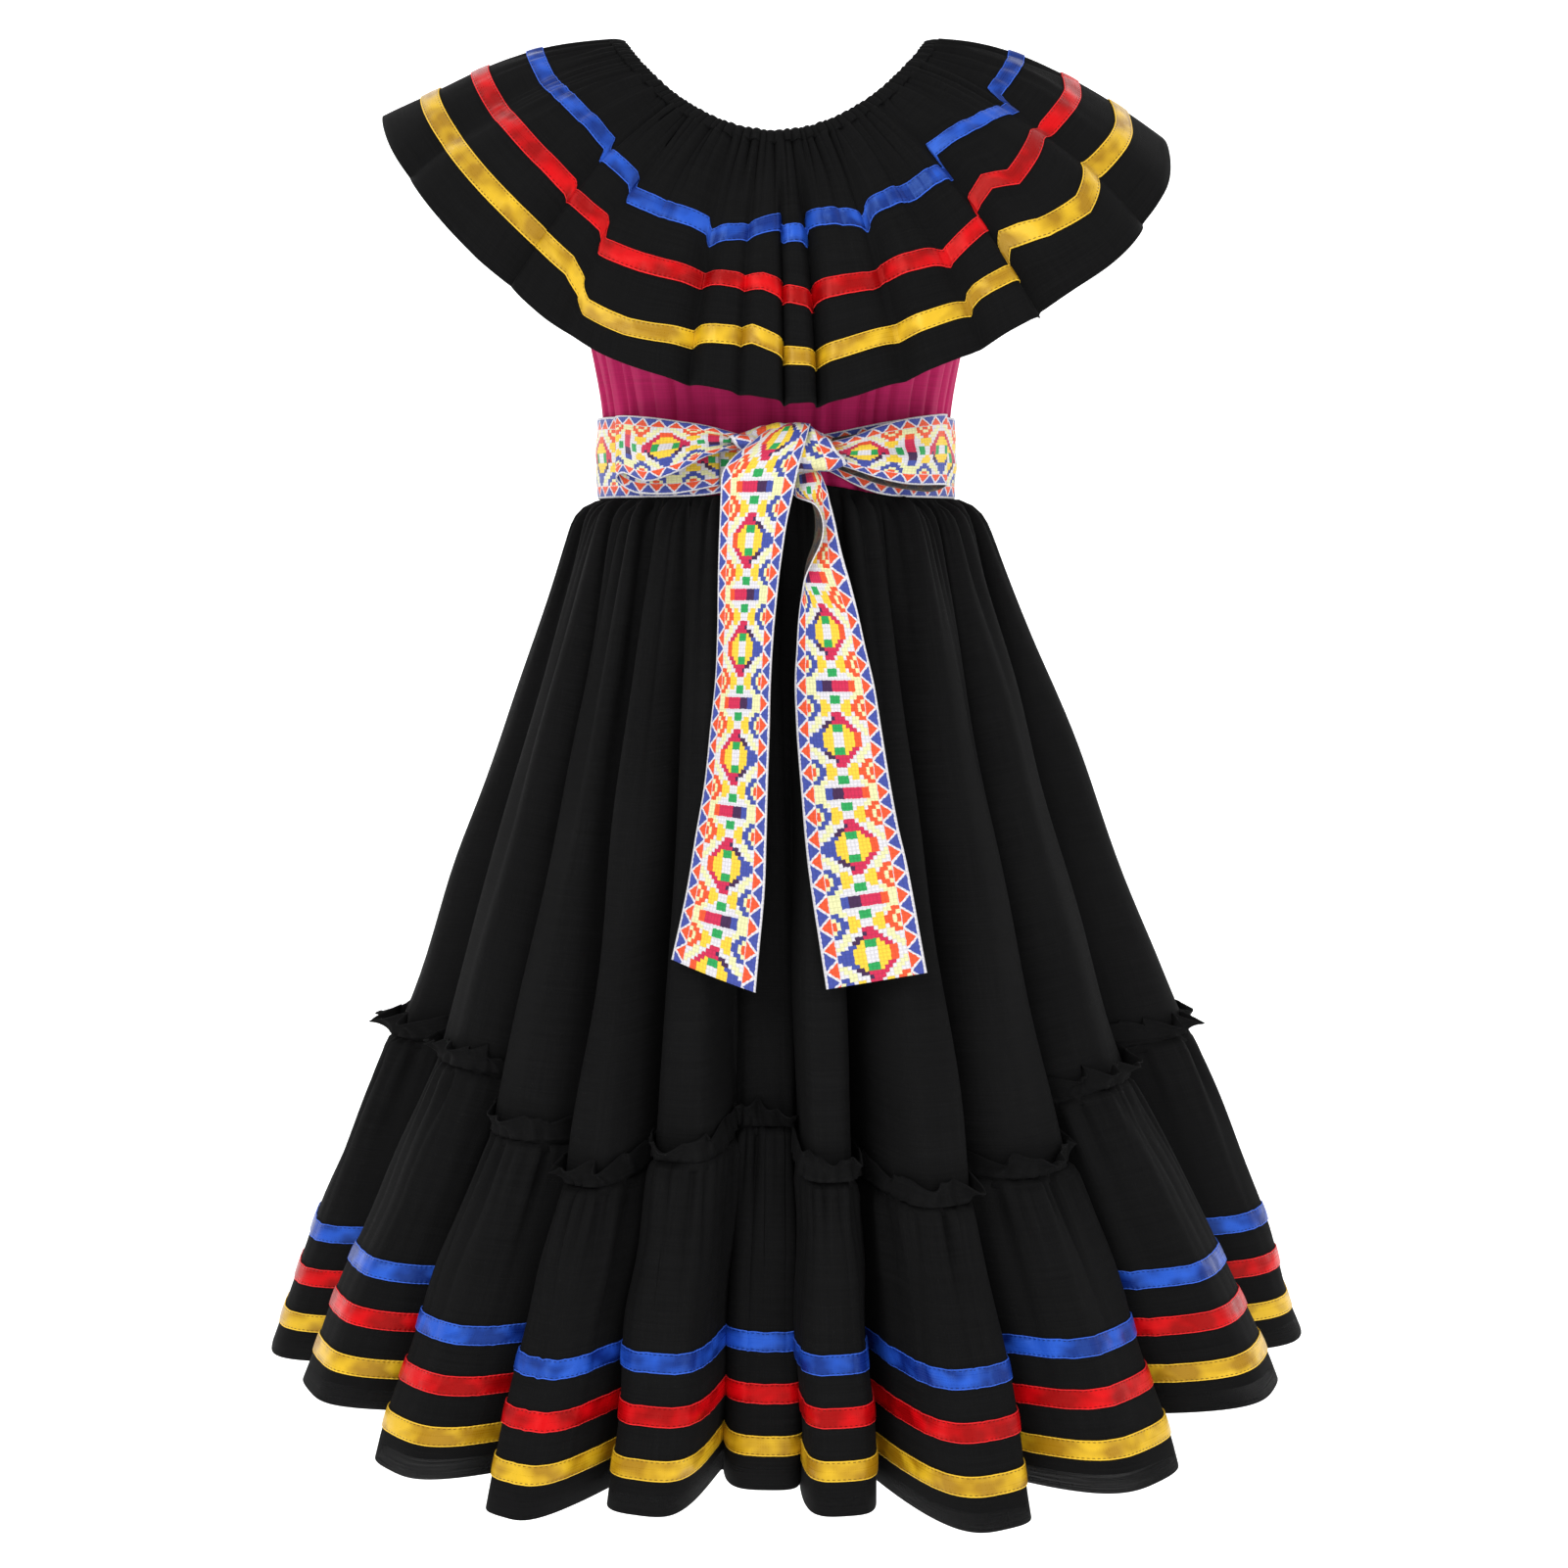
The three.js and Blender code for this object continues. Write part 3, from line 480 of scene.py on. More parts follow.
def clothWall(name, points, materials, closed=False, thick=0.7, across=None, down=None, paint=None):
    # Two skins, each half a thickness off the grid along its normals, joined by narrow rims at every free
    # edge. The UV map is in metres of flat cloth. paint gives each span between rows its material; without
    # it the outer skin has the first one and the inner skin the last.
    rows, columns = points.shape[:2]
    spans = columns if closed else columns - 1
    normals = outwardOf(points, closed)
    skins = np.stack([points + normals * thick / 2, points - normals * thick / 2]).reshape(-1, 3) * mm
    r, c = (axis.ravel() for axis in np.meshgrid(np.arange(rows - 1), np.arange(spans), indexing="ij"))
    none = np.zeros_like(r)

    def corners(*places):
        return np.stack([pointsOf(*place) for place in places], 1)

    outer = corners((r, c, none), (r + 1, c, none), (r + 1, c + 1, none), (r, c + 1, none))
    inner = corners((r, c, none + 1), (r, c + 1, none + 1), (r + 1, c + 1, none + 1), (r + 1, c, none + 1))
    e, low = np.arange(spans), rows - 1
    rims = [corners((0, e, 0), (0, e + 1, 0), (0, e + 1, 1), (0, e, 1))]
    rims.append(corners((low, e, 0), (low, e, 1), (low, e + 1, 1), (low, e + 1, 0)))
    if not closed:
        f, end = np.arange(rows - 1), columns - 1
        rims.append(corners((f + 1, 0, 0), (f, 0, 0), (f, 0, 1), (f + 1, 0, 1)))
        rims.append(corners((f, end, 0), (f + 1, end, 0), (f + 1, end, 1), (f, end, 1)))
    rim = np.concatenate(rims)
    faces = np.concatenate([outer, inner, rim])
    index = faces[..., 2] * rows * columns + faces[..., 0] * columns + faces[..., 1] % columns

    mesh = bpy.data.meshes.new(name)
    mesh.from_pydata(skins.tolist(), [], index.tolist())
    mesh.polygons.foreach_set("use_smooth", np.arange(len(faces)) < len(outer) * 2)
    across = lengthsAcross(points, closed) if across is None else across
    down = lengthsDown(points).mean(1) if down is None else down
    flat = np.stack([across[faces[..., 1]], down[faces[..., 0]]], -1) * mm
    mesh.uv_layers.new(name="flat").data.foreach_set("uv", flat.ravel())
    for material in materials:
        mesh.materials.append(material)
    outerPaint, innerPaint = (none, none + len(materials) - 1) if paint is None else (paint[r], paint[r])
    rimPaint = np.zeros(len(rim), int)
    mesh.polygons.foreach_set("material_index", np.concatenate([outerPaint, innerPaint, rimPaint]))
    mesh.validate()
    mesh.update()
    piece = bpy.data.objects.new(name, mesh)
    bpy.context.collection.objects.link(piece)
    area = sum(face.area for face in mesh.polygons) / 2
    print(f"{name}: {len(faces) * 2} triangles, {area:.4f} m2, {across[-1]:.0f} x {down[-1]:.0f} mm")
    return piece


def dress(piece, node):
    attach(piece, "root")
    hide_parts(node)


def mix(first, second, share):
    return first + (second - first) * share


def polar(bearing, reach, height):
    # A point at a distance from the upright axis, in the direction of the bearing.
    angle = np.asarray(bearing) * radian
    return pointsOf(reach * np.sin(angle), -reach * np.cos(angle), height).astype(float)


def falling(bearing, angle):
    # A unit direction outwards that slopes down by the angle.
    return polar(bearing, np.cos(angle * radian), -np.sin(angle * radian))


def cubic(a, b, c, d, t):
    # From b to c as t goes from 0 to 1, leaving along the line a-c and arriving along b-d.
    return b + 0.5 * t * (c - a + t * (2 * a - 5 * b + 4 * c - d + t * (3 * (b - c) + d - a)))


def throughRows(table, places):
    # A smooth curve through a table's rows.
    table = np.asarray(table, float)
    last = len(table) - 1
    k = np.clip(np.floor(places).astype(int), 0, last - 1)
    t = (places - k).reshape(-1, *[1] * (table.ndim - 1))
    b, c = table[k], table[k + 1]
    a = np.where((k > 0).reshape(t.shape), table[np.maximum(k - 1, 0)], 2 * b - c)
    d = np.where((k + 2 <= last).reshape(t.shape), table[np.minimum(k + 2, last)], 2 * c - b)
    return cubic(a, b, c, d, t)


def roundBody(table, at):
    # The same curve through a table that goes once round the body; directions gain a turn with each round.
    table = np.asarray(table, float)
    count = len(table)
    turn = 360 if np.ptp(table) > 250 else 0
    place = np.mod(at, 360) / (360 / count)
    k = np.floor(place).astype(int)
    return cubic(*(table[(k + s) % count] + turn * ((k + s) // count) for s in (-1, 0, 1, 2)), place - k)


def foldPlaces(at, crease, counts):
    # Columns over folds that follow each other: u runs from -1 in the crease before a crest to 1 in the next.
    at, crease = np.array(at, float), np.array(crease, float)
    starts = np.roll(crease, 1)
    starts[0] -= 360
    counts = np.broadcast_to(counts, at.shape)
    which = np.repeat(np.arange(len(at)), counts)
    u = np.concatenate([-1 + 2 * np.arange(count) / count for count in counts])
    span = np.where(u < 0, at[which] - starts[which], crease[which] - at[which])
    side = np.where(u < 0, which - 1, which) % len(at)
    beyond = np.where(u < 0, which - 1, which + 1) % len(at)
    at = at[which]
    bearing = at + span * u
    across = np.mod(bearing, 360) / 360
    return dict(which=which, u=u, span=span, side=side, beyond=beyond, at=at, bearing=bearing, across=across)


def signedOf(bearing):
    return np.mod(bearing + 180, 360) - 180


def bellOf(distance, run):
    return np.exp(-((distance / run) ** 2))


def fallOf(u):
    # 0 on a crest and 1 in a crease, with a broad crest and a narrow crease.
    return (1 - np.cos(np.pi * np.abs(u) ** 1.7)) / 2


def gathers(across, along, size):
    # Ridges of uneven width side by side, each as high as the sine over its width, fading down the cloth;
    # across runs from 0 to 1 round the piece.
    dice = np.random.default_rng(size["seed"])
    widths = 1 + size["jitter"] * dice.uniform(-1, 1, size["count"])
    edges = np.concatenate([[0], np.cumsum(widths)]) / widths.sum()
    which = np.clip(np.searchsorted(edges, across, side="right") - 1, 0, size["count"] - 1)
    ridge = np.abs(np.sin(np.pi * (across - edges[which]) / (edges[which + 1] - edges[which])))
    high = dice.uniform(0.55, 1.3, size["count"])[which]
    run = dice.uniform(*size["run"], size["count"])[which]
    return size["depth"] * (high * ridge * bellOf(along, run) - 0.5 * bellOf(along, np.mean(size["run"])))


def sumOfGathers(across, along, sizes):
    return sum(gathers(across, along, size) for size in sizes)


def ripples(across, down, amount, seed, turns=(3, 34)):
    # Soft unevenness: a sum of sines that slant at random.
    dice = np.random.default_rng(seed)
    total = 0
    for _ in range(9):
        waves, slant, phase = dice.integers(*turns), dice.uniform(-2.5, 2.5), dice.random()
        total = total + np.sin(2 * np.pi * (waves * across + slant * down + phase)) / (1 + waves / 14)
    return amount * total / 2


def linesAt(grid, shares, want):
    # Points of a grid at a share of its height for each column, between the two rows that hold it.
    place = np.interp(want, shares, np.arange(len(shares)))
    k = np.clip(np.floor(place).astype(int), 0, len(shares) - 2)
    columns = np.broadcast_to(np.arange(grid.shape[1]), place.shape)
    return mix(grid[k, columns], grid[k + 1, columns], (place - k)[..., None])


ribbonRows = np.array([-5, -4.6, -2.4, 0, 2.4, 4.6, 5])  # from the middle line of a ribbon
ribbon = dict(thick=0.45, out=0.85, crown=0.22, slack=0.16, pitch=9)


def ribbonPoints(cloth, shares, centre, seed):
    # A strip of a cloth's grid, moved out along its normals, with slack between the two stitched edges.
    normals = outwardOf(cloth, True)
    offsets = ribbonRows[:, None]
    want = centre + offsets / lengthsDown(cloth)[-1]
    strip = linesAt(cloth, shares, want)
    along = lengthsAcross(strip, True)
    puff = 1 - (offsets / (ribbonWidth / 2)) ** 2
    count = round(along[-1] / ribbon["pitch"])
    loose = ripples(along[:-1] / along[-1], 0 * offsets, ribbon["slack"], seed, turns=(count // 2, count))
    out = ribbon["out"] + puff * (ribbon["crown"] + loose)
    return strip + linesAt(normals, shares, want) * out[..., None], along


def makeRibbons(place, cloth, shares, centres, seed):
    # The three satin ribbons of a flounce, each along its own line of the cloth.
    down = ribbonRows + ribbonWidth / 2
    for k, (name, centre) in enumerate(centres.items()):
        strip, along = ribbonPoints(cloth, shares, centre, seed + k)
        title = f"{place}Ribbon{name.title()}"
        piece = clothWall(title, strip, [satin[name]], True, ribbon["thick"], across=along, down=down)
        dress(piece, f"{place}_ribbon_{name}")


# Neck: gathered casing, flounce and its ribbons.

neck = dict(centreX=-3.5, halfWidth=82, depth=58, frontScoop=56, backScoop=44, roundness=1.8)
casing = dict(columns=1300, rows=9, height=8.6, thick=1.3, roll=0.7, closed=-0.9, held=0.5)
casingGathers = dict(count=150, jitter=0.5, depth=2.5, run=(400, 500), seed=4)
flounceRing = dict(  # every 22.5 degrees round the neckline, from the front
    fans=(0, 43, 62, 75, 90, 105, 118, 137, 180, 223, 242, 255, 270, 285, 298, 316),
    steep=(54, 42, 22, 8, 0, 6, 20, 40, 52, 40, 20, 6, 0, 6, 20, 42),
    reach=(58, 81, 125, 136, 129, 129, 113, 80, 56, 80, 113, 128, 132, 129, 115, 83),
    drop=(147, 124, 103, 76, 47, 62, 86, 116, 132, 114, 74, 50, 38, 60, 90, 133),
)
flounceFolds = dict(
    at=(-79, -52, -35, -21, -9, -2, 4.4, 13, 24, 34, 50, 76, 103, 130, 155, 179, 203, 229, 256),
    crease=(-65, -40, -29.5, -13, -5.5, 1.6, 7, 19, 29, 38.5, 61, 90, 117, 143, 167, 191, 216, 242, 270),
    dip=(7, 13, 7, 12, 6, 10, 14, 12, 10, 17, 10, 8, 8, 10, 10, 11, 10, 9, 7),
    tilt=(0.1, -0.2, -0.3, -0.35, -0.3, -0.2, 0.2, 0.35, 0.3, 0.38, 0.2, 0, 0.1, -0.1, 0.1, 0, -0.1, 0.1, 0),
)
flounceSlides = dict(  # how far the cloth hangs down between its folds: bearings, then millimetres
    blue=(
        (-63, -41, -39, -30.5, -28.5, -13.8, -12, 0.8, 2.4, 6.2, 7.8, 13, 18, 20, 37.5, 39.5, 56, 60, 63, 80),
        (0, -3, 4, 4, 12, 9, 16, 2, 11, 12, 2.5, 8, 15, 8, 10, -8, 5, 9, -5, 0),
    ),
    red=(
        (-60, -41, -39, -30.5, -28.3, -21.5, -12, -2, 3, 6, 8, 15, 19, 28, 36, 38.5, 42, 45, 54, 75),
        (0, -2, 1, 0, 11, 7.5, 2, 1, 9, 14, 9.5, 14, 11, 19, 10, -3, -8, 0, -8, 0),
    ),
    gold=(
        (-60, -41, -32, -29, -26, -20.5, -10.6, -3, 3, 6, 7.5, 18, 27.5, 30, 36, 38, 40, 44, 50, 57, 75),
        (0, -1, -2, 6, 11, 9.5, -1, -5, 8, 12, 11, 13, 17, 11, 10, -1, -11, -3, 1, -8, 0),
    ),
    hem=((-45, -12, -3, 5, 12, 25, 36, 39, 50), (0, -8, -6, 1, 6, 9, 4, 0, 0)),
)
flounce = dict(
    frontFolds=12, frontColumns=46, backColumns=58, rows=42, control=0.42, lean=0.2, grows=0.6, seam=0.15
)
flounceGathers = [
    dict(casingGathers, run=(18, 60)),
    dict(count=58, jitter=0.5, depth=2.4, run=(35, 100), seed=12),
]
flounceRibbons = dict(blue=0.36, red=0.6, gold=0.81)


def neckPoints(bearing, along, off):
    # The neckline's dipped oval, then a step down the flounce's own slope and one square to it.
    front = np.cos(bearing * radian)
    scoop = np.where(front > 0, neck["frontScoop"], neck["backScoop"])
    fans, steep = (roundBody(flounceRing[key], bearing) for key in ("fans", "steep"))
    line = polar(bearing, 1.0, -scoop * np.abs(front) ** neck["roundness"])
    line = line * (neck["halfWidth"], neck["depth"], 1) + (neck["centreX"], 0, 0)
    line = line + falling(fans, steep) * (along + 0 * bearing)[..., None]
    return line + falling(fans, steep - 90) * (off + 0 * bearing)[..., None]


def makeCasing():
    # A roll of gathers, half as deep at the top edge, where the elastic holds them.
    count = casing["columns"]
    bearing = np.arange(count) / count * 360
    share = sharesDown(casing["rows"])
    ridge = gathers(bearing / 360, 0 * share, casingGathers) * mix(casing["held"], 1, share)
    off = ridge + casing["roll"] * np.sin(np.pi * share) ** 0.6
    points = neckPoints(bearing + 0 * share, casing["height"] * share, off)
    piece = clothWall("neckCasing", points, [black], closed=True, thick=casing["thick"])
    dress(piece, "neck_casing")


def flouncePoints():
    # A curve from under the casing to the edge: fan * reach down by drop, leaving at the slope steep. The
    # folds dip below it, and the cloth slides along it.
    counts = [flounce["frontColumns"]] * flounce["frontFolds"]
    counts += [flounce["backColumns"]] * (len(flounceFolds["at"]) - flounce["frontFolds"])
    places = foldPlaces(flounceFolds["at"], flounceFolds["crease"], counts)
    shares = np.linspace(0, 1, flounce["rows"])
    share = shares[:, None]
    lean = flounce["lean"] * np.sin(np.pi * places["u"]) * share
    bearing = places["at"] + places["span"] * (places["u"] + lean)
    fans, steep, reach, drop = (roundBody(flounceRing[key], bearing) for key in flounceRing)
    start = neckPoints(bearing, casing["height"] + casing["closed"], 0)
    edge = neckPoints(bearing, 0, 0) + polar(fans, reach, -drop)
    length = np.linalg.norm(edge - start, axis=-1)
    control = start + falling(fans, steep) * (flounce["control"] * length)[..., None]
    t = share[..., None]
    upper, lower = mix(start, control, t), mix(control, edge, t)
    points = mix(upper, lower, t)
    along = unitOf(lower - upper)
    out = np.cross(along, polar(fans + 90, 1.0, 0.0))
    tilt = np.array(flounceFolds["tilt"])[places["which"]]
    tilted = places["u"] + tilt * (1 - places["u"] ** 2)
    dip = np.array(flounceFolds["dip"])[places["side"]] * fallOf(tilted) * share ** flounce["grows"]
    off = -dip + sumOfGathers(places["across"], share * length, flounceGathers)
    off = off + ripples(places["across"], share, 1.0, 21) * np.minimum(share * 2, 1)
    signed = signedOf(places["bearing"])
    slides = [0 * signed] + [np.interp(signed, *slide) for slide in flounceSlides.values()]
    slide = throughRows(slides, np.interp(shares, [0, *flounceRibbons.values(), 1], range(5)))
    return points + out * off[..., None] + along * slide[..., None], shares


def makeFlounce():
    cloth, shares = flouncePoints()
    split = flounce["frontFolds"] * flounce["frontColumns"]
    whole = np.concatenate([cloth, cloth[:, :1]], 1)
    for name, first, last, flat, area in (
        ("front", 0, split, (0.56, 0.15), 0.074),
        ("back", split, cloth.shape[1], (0.52, 0.15), 0.061),
    ):
        panel = whole[:, first : last + 1].copy()
        panel[:, 0] += unitOf(panel[:, 1] - panel[:, 0]) * flounce["seam"]
        panel[:, -1] += unitOf(panel[:, -2] - panel[:, -1]) * flounce["seam"]
        piece = clothWall("flounce" + name.title(), panel, [black])
        dress(piece, "flounce_" + name)
    makeRibbons("flounce", cloth, shares, flounceRibbons, 31)


makeCasing()
makeFlounce()
print("neck and flounce: done")


# Waist and bodice.

waist = dict(centreX=-3, halfWidth=97.3, depth=75.6, seamZ=-247)


def waistPoints(bearing, off, z):
    # The waist's oval, its half width and depth each made larger by off, at the height z.
    angle = np.asarray(bearing) * radian
    x = waist["centreX"] + (waist["halfWidth"] + off) * np.sin(angle)
    return pointsOf(x, -(waist["depth"] + off) * np.cos(angle), z)


bodiceRows = [  # below the neckline: side edge x, y, z, then depth and height of the middle
    (98, 3.5, -10, 66, -74),
    (102, 33, -42, 75, -100),
    (105, 42, -82, 80, -126),
    (107, 30, -126, 83, -150),
    (105.5, 0, -152, 83, -166),
    (96.4, 0, -202, 74.8, -203),
    (96.4, 0, -247, 74.8, -247),
]
bodice = dict(columns=240, rowsEach=8, sidesIn=0.985, armhole=1.6, seam=0.15, under=2, off=-3.1)
bodiceCloth = dict(limits=(-5, 1.1), level=0.4, top=0.8, tuck=2.0, tuckRun=14)
bodiceGathers = [
    dict(count=26, jitter=0.6, depth=5.6, run=(40, 130), seed=51),
    dict(count=70, jitter=0.5, depth=1.3, run=(14, 60), seed=52),
]


def makeBodice(name, facing):
    # Rows through the table from side to side, gathered from both ends and drawn in at the waist.
    turn = np.linspace(-90, 90, bodice["columns"])
    bearing = bodice["sidesIn"] * turn
    bearing = bearing if facing < 0 else 180 - bearing
    top = neckPoints(bearing, casing["height"] - bodice["under"], bodice["off"])
    cosine = np.maximum(np.cos(turn * radian), 0)
    sideX, sideY, sideZ, midY, midZ = (column[:, None] for column in np.array(bodiceRows).T)
    x = waist["centreX"] + sideX * np.sin(turn * radian)
    y = facing * mix(sideY + bodice["seam"], midY, cosine)
    z = mix(midZ, sideZ, 1 - cosine ** bodice["armhole"])
    rows = np.concatenate([top[None], pointsOf(x, y, z)])
    smooth = throughRows(rows, np.linspace(0, len(rows) - 1, (len(rows) - 1) * bodice["rowsEach"] + 1))
    if facing > 0:
        smooth = smooth[:, ::-1]
    fromTop = lengthsDown(smooth)
    fromWaist = fromTop[-1] - fromTop
    places = np.linspace(0, 1, bodice["columns"])
    broad, fine = (dict(size, seed=size["seed"] + (facing > 0)) for size in bodiceGathers)
    off = sumOfGathers(places, fromWaist, (broad, fine))
    off = off + gathers(places, fromTop, dict(fine, seed=57)) * bodiceCloth["top"]
    off = off + ripples(places, fromTop / 200, 0.6, 58 + facing)
    off = off * np.sin(np.pi * np.clip(places, 0.004, 0.996)) ** 0.25
    off = np.clip(off - bodiceCloth["level"], *bodiceCloth["limits"])
    off = off - bodiceCloth["tuck"] * bellOf(fromWaist, bodiceCloth["tuckRun"])
    piece = clothWall("bodice" + name.title(), raised(smooth, off, False), [magenta])
    dress(piece, "bodice_" + name)


makeBodice("front", -1)
makeBodice("back", 1)
print("bodice: done")


# Skirt: gathered tier, hem flounce, its heading and its ribbons.

flutes = dict(
    at=(-82, -63, -47.5, -32.5, -19.5, -4.5, 11, 25.5, 45, 65.5, 86.5)
    + (105, 121, 137, 152, 167, 182, 198, 213, 229, 245, 261),
    seam=(219, 199, 191, 184, 163, 122, 159, 183, 189, 200, 229)
    + (219, 205, 192, 181, 171, 165, 169, 179, 189, 203, 216),
    seamZ=(-548, -553, -584, -603, -590, -579, -600, -611, -603, -565, -549)
    + (-556, -568, -580, -591, -597, -599, -596, -589, -578, -565, -553),
    hem=(289, 275, 262, 246, 216, 172, 198, 237, 258, 283, 296)
    + (287, 271, 256, 242, 229, 223, 229, 240, 255, 272, 285),
    hemZ=(-720, -719, -741, -752, -751, -751, -755, -756, -746, -721, -717)
    + (-720, -728, -737, -745, -750, -751, -749, -744, -736, -727, -720),
    valley=(-73, -55.5, -39, -27, -12, 3.5, 18, 34, 55.5, 75.5, 97)
    + (113, 129, 144.5, 159.5, 174.5, 190, 205.5, 221, 237, 253, 269),
    seamIn=(166, 146, 130, 119, 115, 118, 103, 121, 139, 166, 173)
    + (160, 147, 134, 123, 115, 114, 119, 129, 142, 156, 165),
    hemIn=(220, 204, 180, 160, 147, 144, 133, 164, 192, 222, 230)
    + (216, 200, 184, 170, 158, 156, 163, 176, 193, 210, 220),
    bias=(-0.2, -0.22, -0.26, -0.24, 0.05, 0.24, -0.2, 0.28, 0.28, 0.24, 0.2)
    + (0.1, -0.15, 0.2, -0.1, 0.15, -0.2, 0.15, -0.15, 0.2, -0.15, 0.1),
)
overhang = 0.24  # how far a crest hangs over its valleys, as a share of a fold
tier = dict(columns=36, rows=38, below=0.5, collar=0.01, puff=0.1, puffRun=0.012, held=5, ripple=1.6)
tierEdge = dict(share=0.4, seed=66)  # how far the hem flounce's gathers show above their seam
tierRise = dict(height=6, at=12, run=18)  # the waist seam's rise beside the knot
tierGathers = [
    dict(count=120, jitter=0.5, depth=3.3, run=(20, 95), seed=61),
    dict(count=52, jitter=0.55, depth=4.6, run=(70, 240), seed=62),
]
hem = dict(columns=80, rows=22, overlap=4, out=0.3, sewn=5, belly=3.0, ripple=1.5, sheer=(3.6, 15.0))
hemGathers = [
    dict(count=390, jitter=0.45, depth=3.4, run=(15, 40), seed=71),
    dict(count=130, jitter=0.5, depth=4.4, run=(34, 95), seed=72),
]
hemRibbons = dict(blue=74, red=48, gold=22)  # above the hem
heading = dict(
    columns=72, rows=9, thick=0.6, height=13, uneven=0.1, above=4.6, out=1.7, lift=5, flare=7, wave=7.5,
    tuckedIn=0.7, curl=1.4, bob=3.2,
)
headingWaves = [
    dict(count=112, jitter=0.6, depth=1.7, run=(900, 901), seed=93),
    dict(count=265, jitter=0.6, depth=0.7, run=(900, 901), seed=94),
]
headingGathers = dict(hemGathers[0], depth=2.4, run=(5, 15))
seamShares = np.linspace(0, 1, 41)


def flutedPoints(places, ring):
    # A ring at the tier seam or the hem: out on the crests, in at the valleys. The crests hang over the
    # valleys, each more to the side that its bias says.
    which, side, fall = places["which"], places["side"], fallOf(places["u"])
    keys = (ring, ring + "Z", ring + "In", "bias")
    reach, height, inner, bias = (np.array(flutes[key], float) for key in keys)
    lean = overhang * np.sin(np.pi * places["u"]) + bias[which] * (1 - fall)
    bearing = places["at"] + places["span"] * (places["u"] + lean)
    between = (height[which] + height[places["beyond"]]) / 2
    return polar(bearing, mix(reach[which], inner[side], fall), mix(height[which], between, fall))


def tierPoints(columns, shares, ridges=True):
    # From the waist's oval to the fluted seam: a short collar, a puff over it, then straight lines.
    places = foldPlaces(flutes["at"], flutes["valley"], columns)
    share = np.asarray(shares)[:, None]
    rise = tierRise["height"] * bellOf(signedOf(places["bearing"]) - tierRise["at"], tierRise["run"])
    top = waistPoints(places["bearing"], 0, waist["seamZ"] - tier["below"] + rise)
    seam = flutedPoints(places, "seam")
    past = np.maximum(share - tier["collar"], 0)
    puffed = tier["puff"] * (1 - np.exp(-past / tier["puffRun"]))
    spread = puffed + (1 - tier["puff"]) * past / (1 - tier["collar"])
    points = mix(top[None], seam[None], spread[..., None])
    points[..., 2] = mix(top[:, 2], seam[:, 2], share)
    if ridges:
        along = lengthsDown(points)
        edge = dict(hemGathers[0], seed=tierEdge["seed"])
        off = sumOfGathers(places["across"], along, tierGathers) * np.minimum(along / tier["held"], 1)
        off = off + ripples(places["across"], share, tier["ripple"], 65) * np.minimum(share * 3, 1)
        off = off + tierEdge["share"] * gathers(shareRound(seam), along[-1] - along, edge)
        points = raised(points, off, True)
    return points, places


def makeTier():
    points, _ = tierPoints(tier["columns"], np.linspace(0, 1, tier["rows"]) ** 1.5)
    piece = clothWall("skirtTier", points, [black], closed=True)
    dress(piece, "skirt_main")


def hemPoints():
    # Down from the tier's own skin to the hem ring, sewn flat to it at first, with a soft belly and gathers.
    shares = np.linspace(0, 1, hem["rows"]) ** 1.25
    skin, places = tierPoints(hem["columns"], seamShares)
    normals = outwardOf(tierPoints(hem["columns"], seamShares, ridges=False)[0], True)
    want = (1 - hem["overlap"] / lengthsDown(skin)[-1])[None]
    start = linesAt(skin, seamShares, want) + linesAt(normals, seamShares, want) * hem["out"]
    share = shares[:, None]
    points = mix(start, flutedPoints(places, "hem")[None], share[..., None])
    along = lengthsDown(points)
    off = sumOfGathers(shareRound(start), along, hemGathers) * np.minimum(along / hem["sewn"], 1)
    off = off + hem["belly"] * np.sin(np.pi * share) * (1 - fallOf(places["u"]))
    off = off + ripples(places["across"], share, hem["ripple"], 75) * np.minimum(share * 2.5, 1)
    return raised(points, off, True), shares


def makeHem():
    cloth, shares = hemPoints()
    lengths = lengthsDown(cloth)
    length = lengths.mean(1)
    fromHem = length[-1] - (length[:-1] + length[1:]) / 2
    strip = ((fromHem > hem["sheer"][0]) & (fromHem < hem["sheer"][1])).astype(int)
    piece = clothWall("hemFlounce", cloth, [black, gauze], closed=True, paint=strip)
    dress(piece, "hem_flounce")
    centres = {name: 1 - above / lengths[-1] for name, above in hemRibbons.items()}
    makeRibbons("hem", cloth, shares, centres, 81)


def makeHeading():
    # Up from the gathering line in waves that grow towards a curled edge and close in the valleys.
    upper, places = tierPoints(heading["columns"], seamShares, ridges=False)
    normals = outwardOf(upper, True)
    fall = fallOf(places["u"])
    ring = shareRound(flutedPoints(places, "seam"))
    tall = heading["height"] * (1 + heading["uneven"] * ripples(places["across"], 0, 1.0, 92, turns=(20, 70)))
    up = sharesDown(heading["rows"])[::-1]
    wave = sumOfGathers(ring, 0 * up, headingWaves)
    fine = gathers(ring, tall * up, headingGathers)
    free = 1 - heading["tuckedIn"] * fall
    spread = (heading["flare"] * up**1.6 + heading["wave"] * wave * up**1.1) * free
    want = 1 - (heading["above"] + heading["lift"] * fall + tall * up) / lengthsDown(upper)[-1]
    off = linesAt(normals, seamShares, want) * (heading["out"] + fine)[..., None]
    outward = unitOf(polar(places["bearing"], 1.0, 0.0))
    points = linesAt(upper, seamShares, want) + off + outward * spread[..., None]
    points[..., 2] -= (heading["curl"] * up**3 + heading["bob"] * wave * up**1.5) * free
    piece = clothWall("hemHeading", points, [black], closed=True, thick=heading["thick"])
    dress(piece, "hem_frill")


makeTier()
makeHem()
makeHeading()
print("skirt: done")


# Sash: wrap, bow loops, knot and tails.

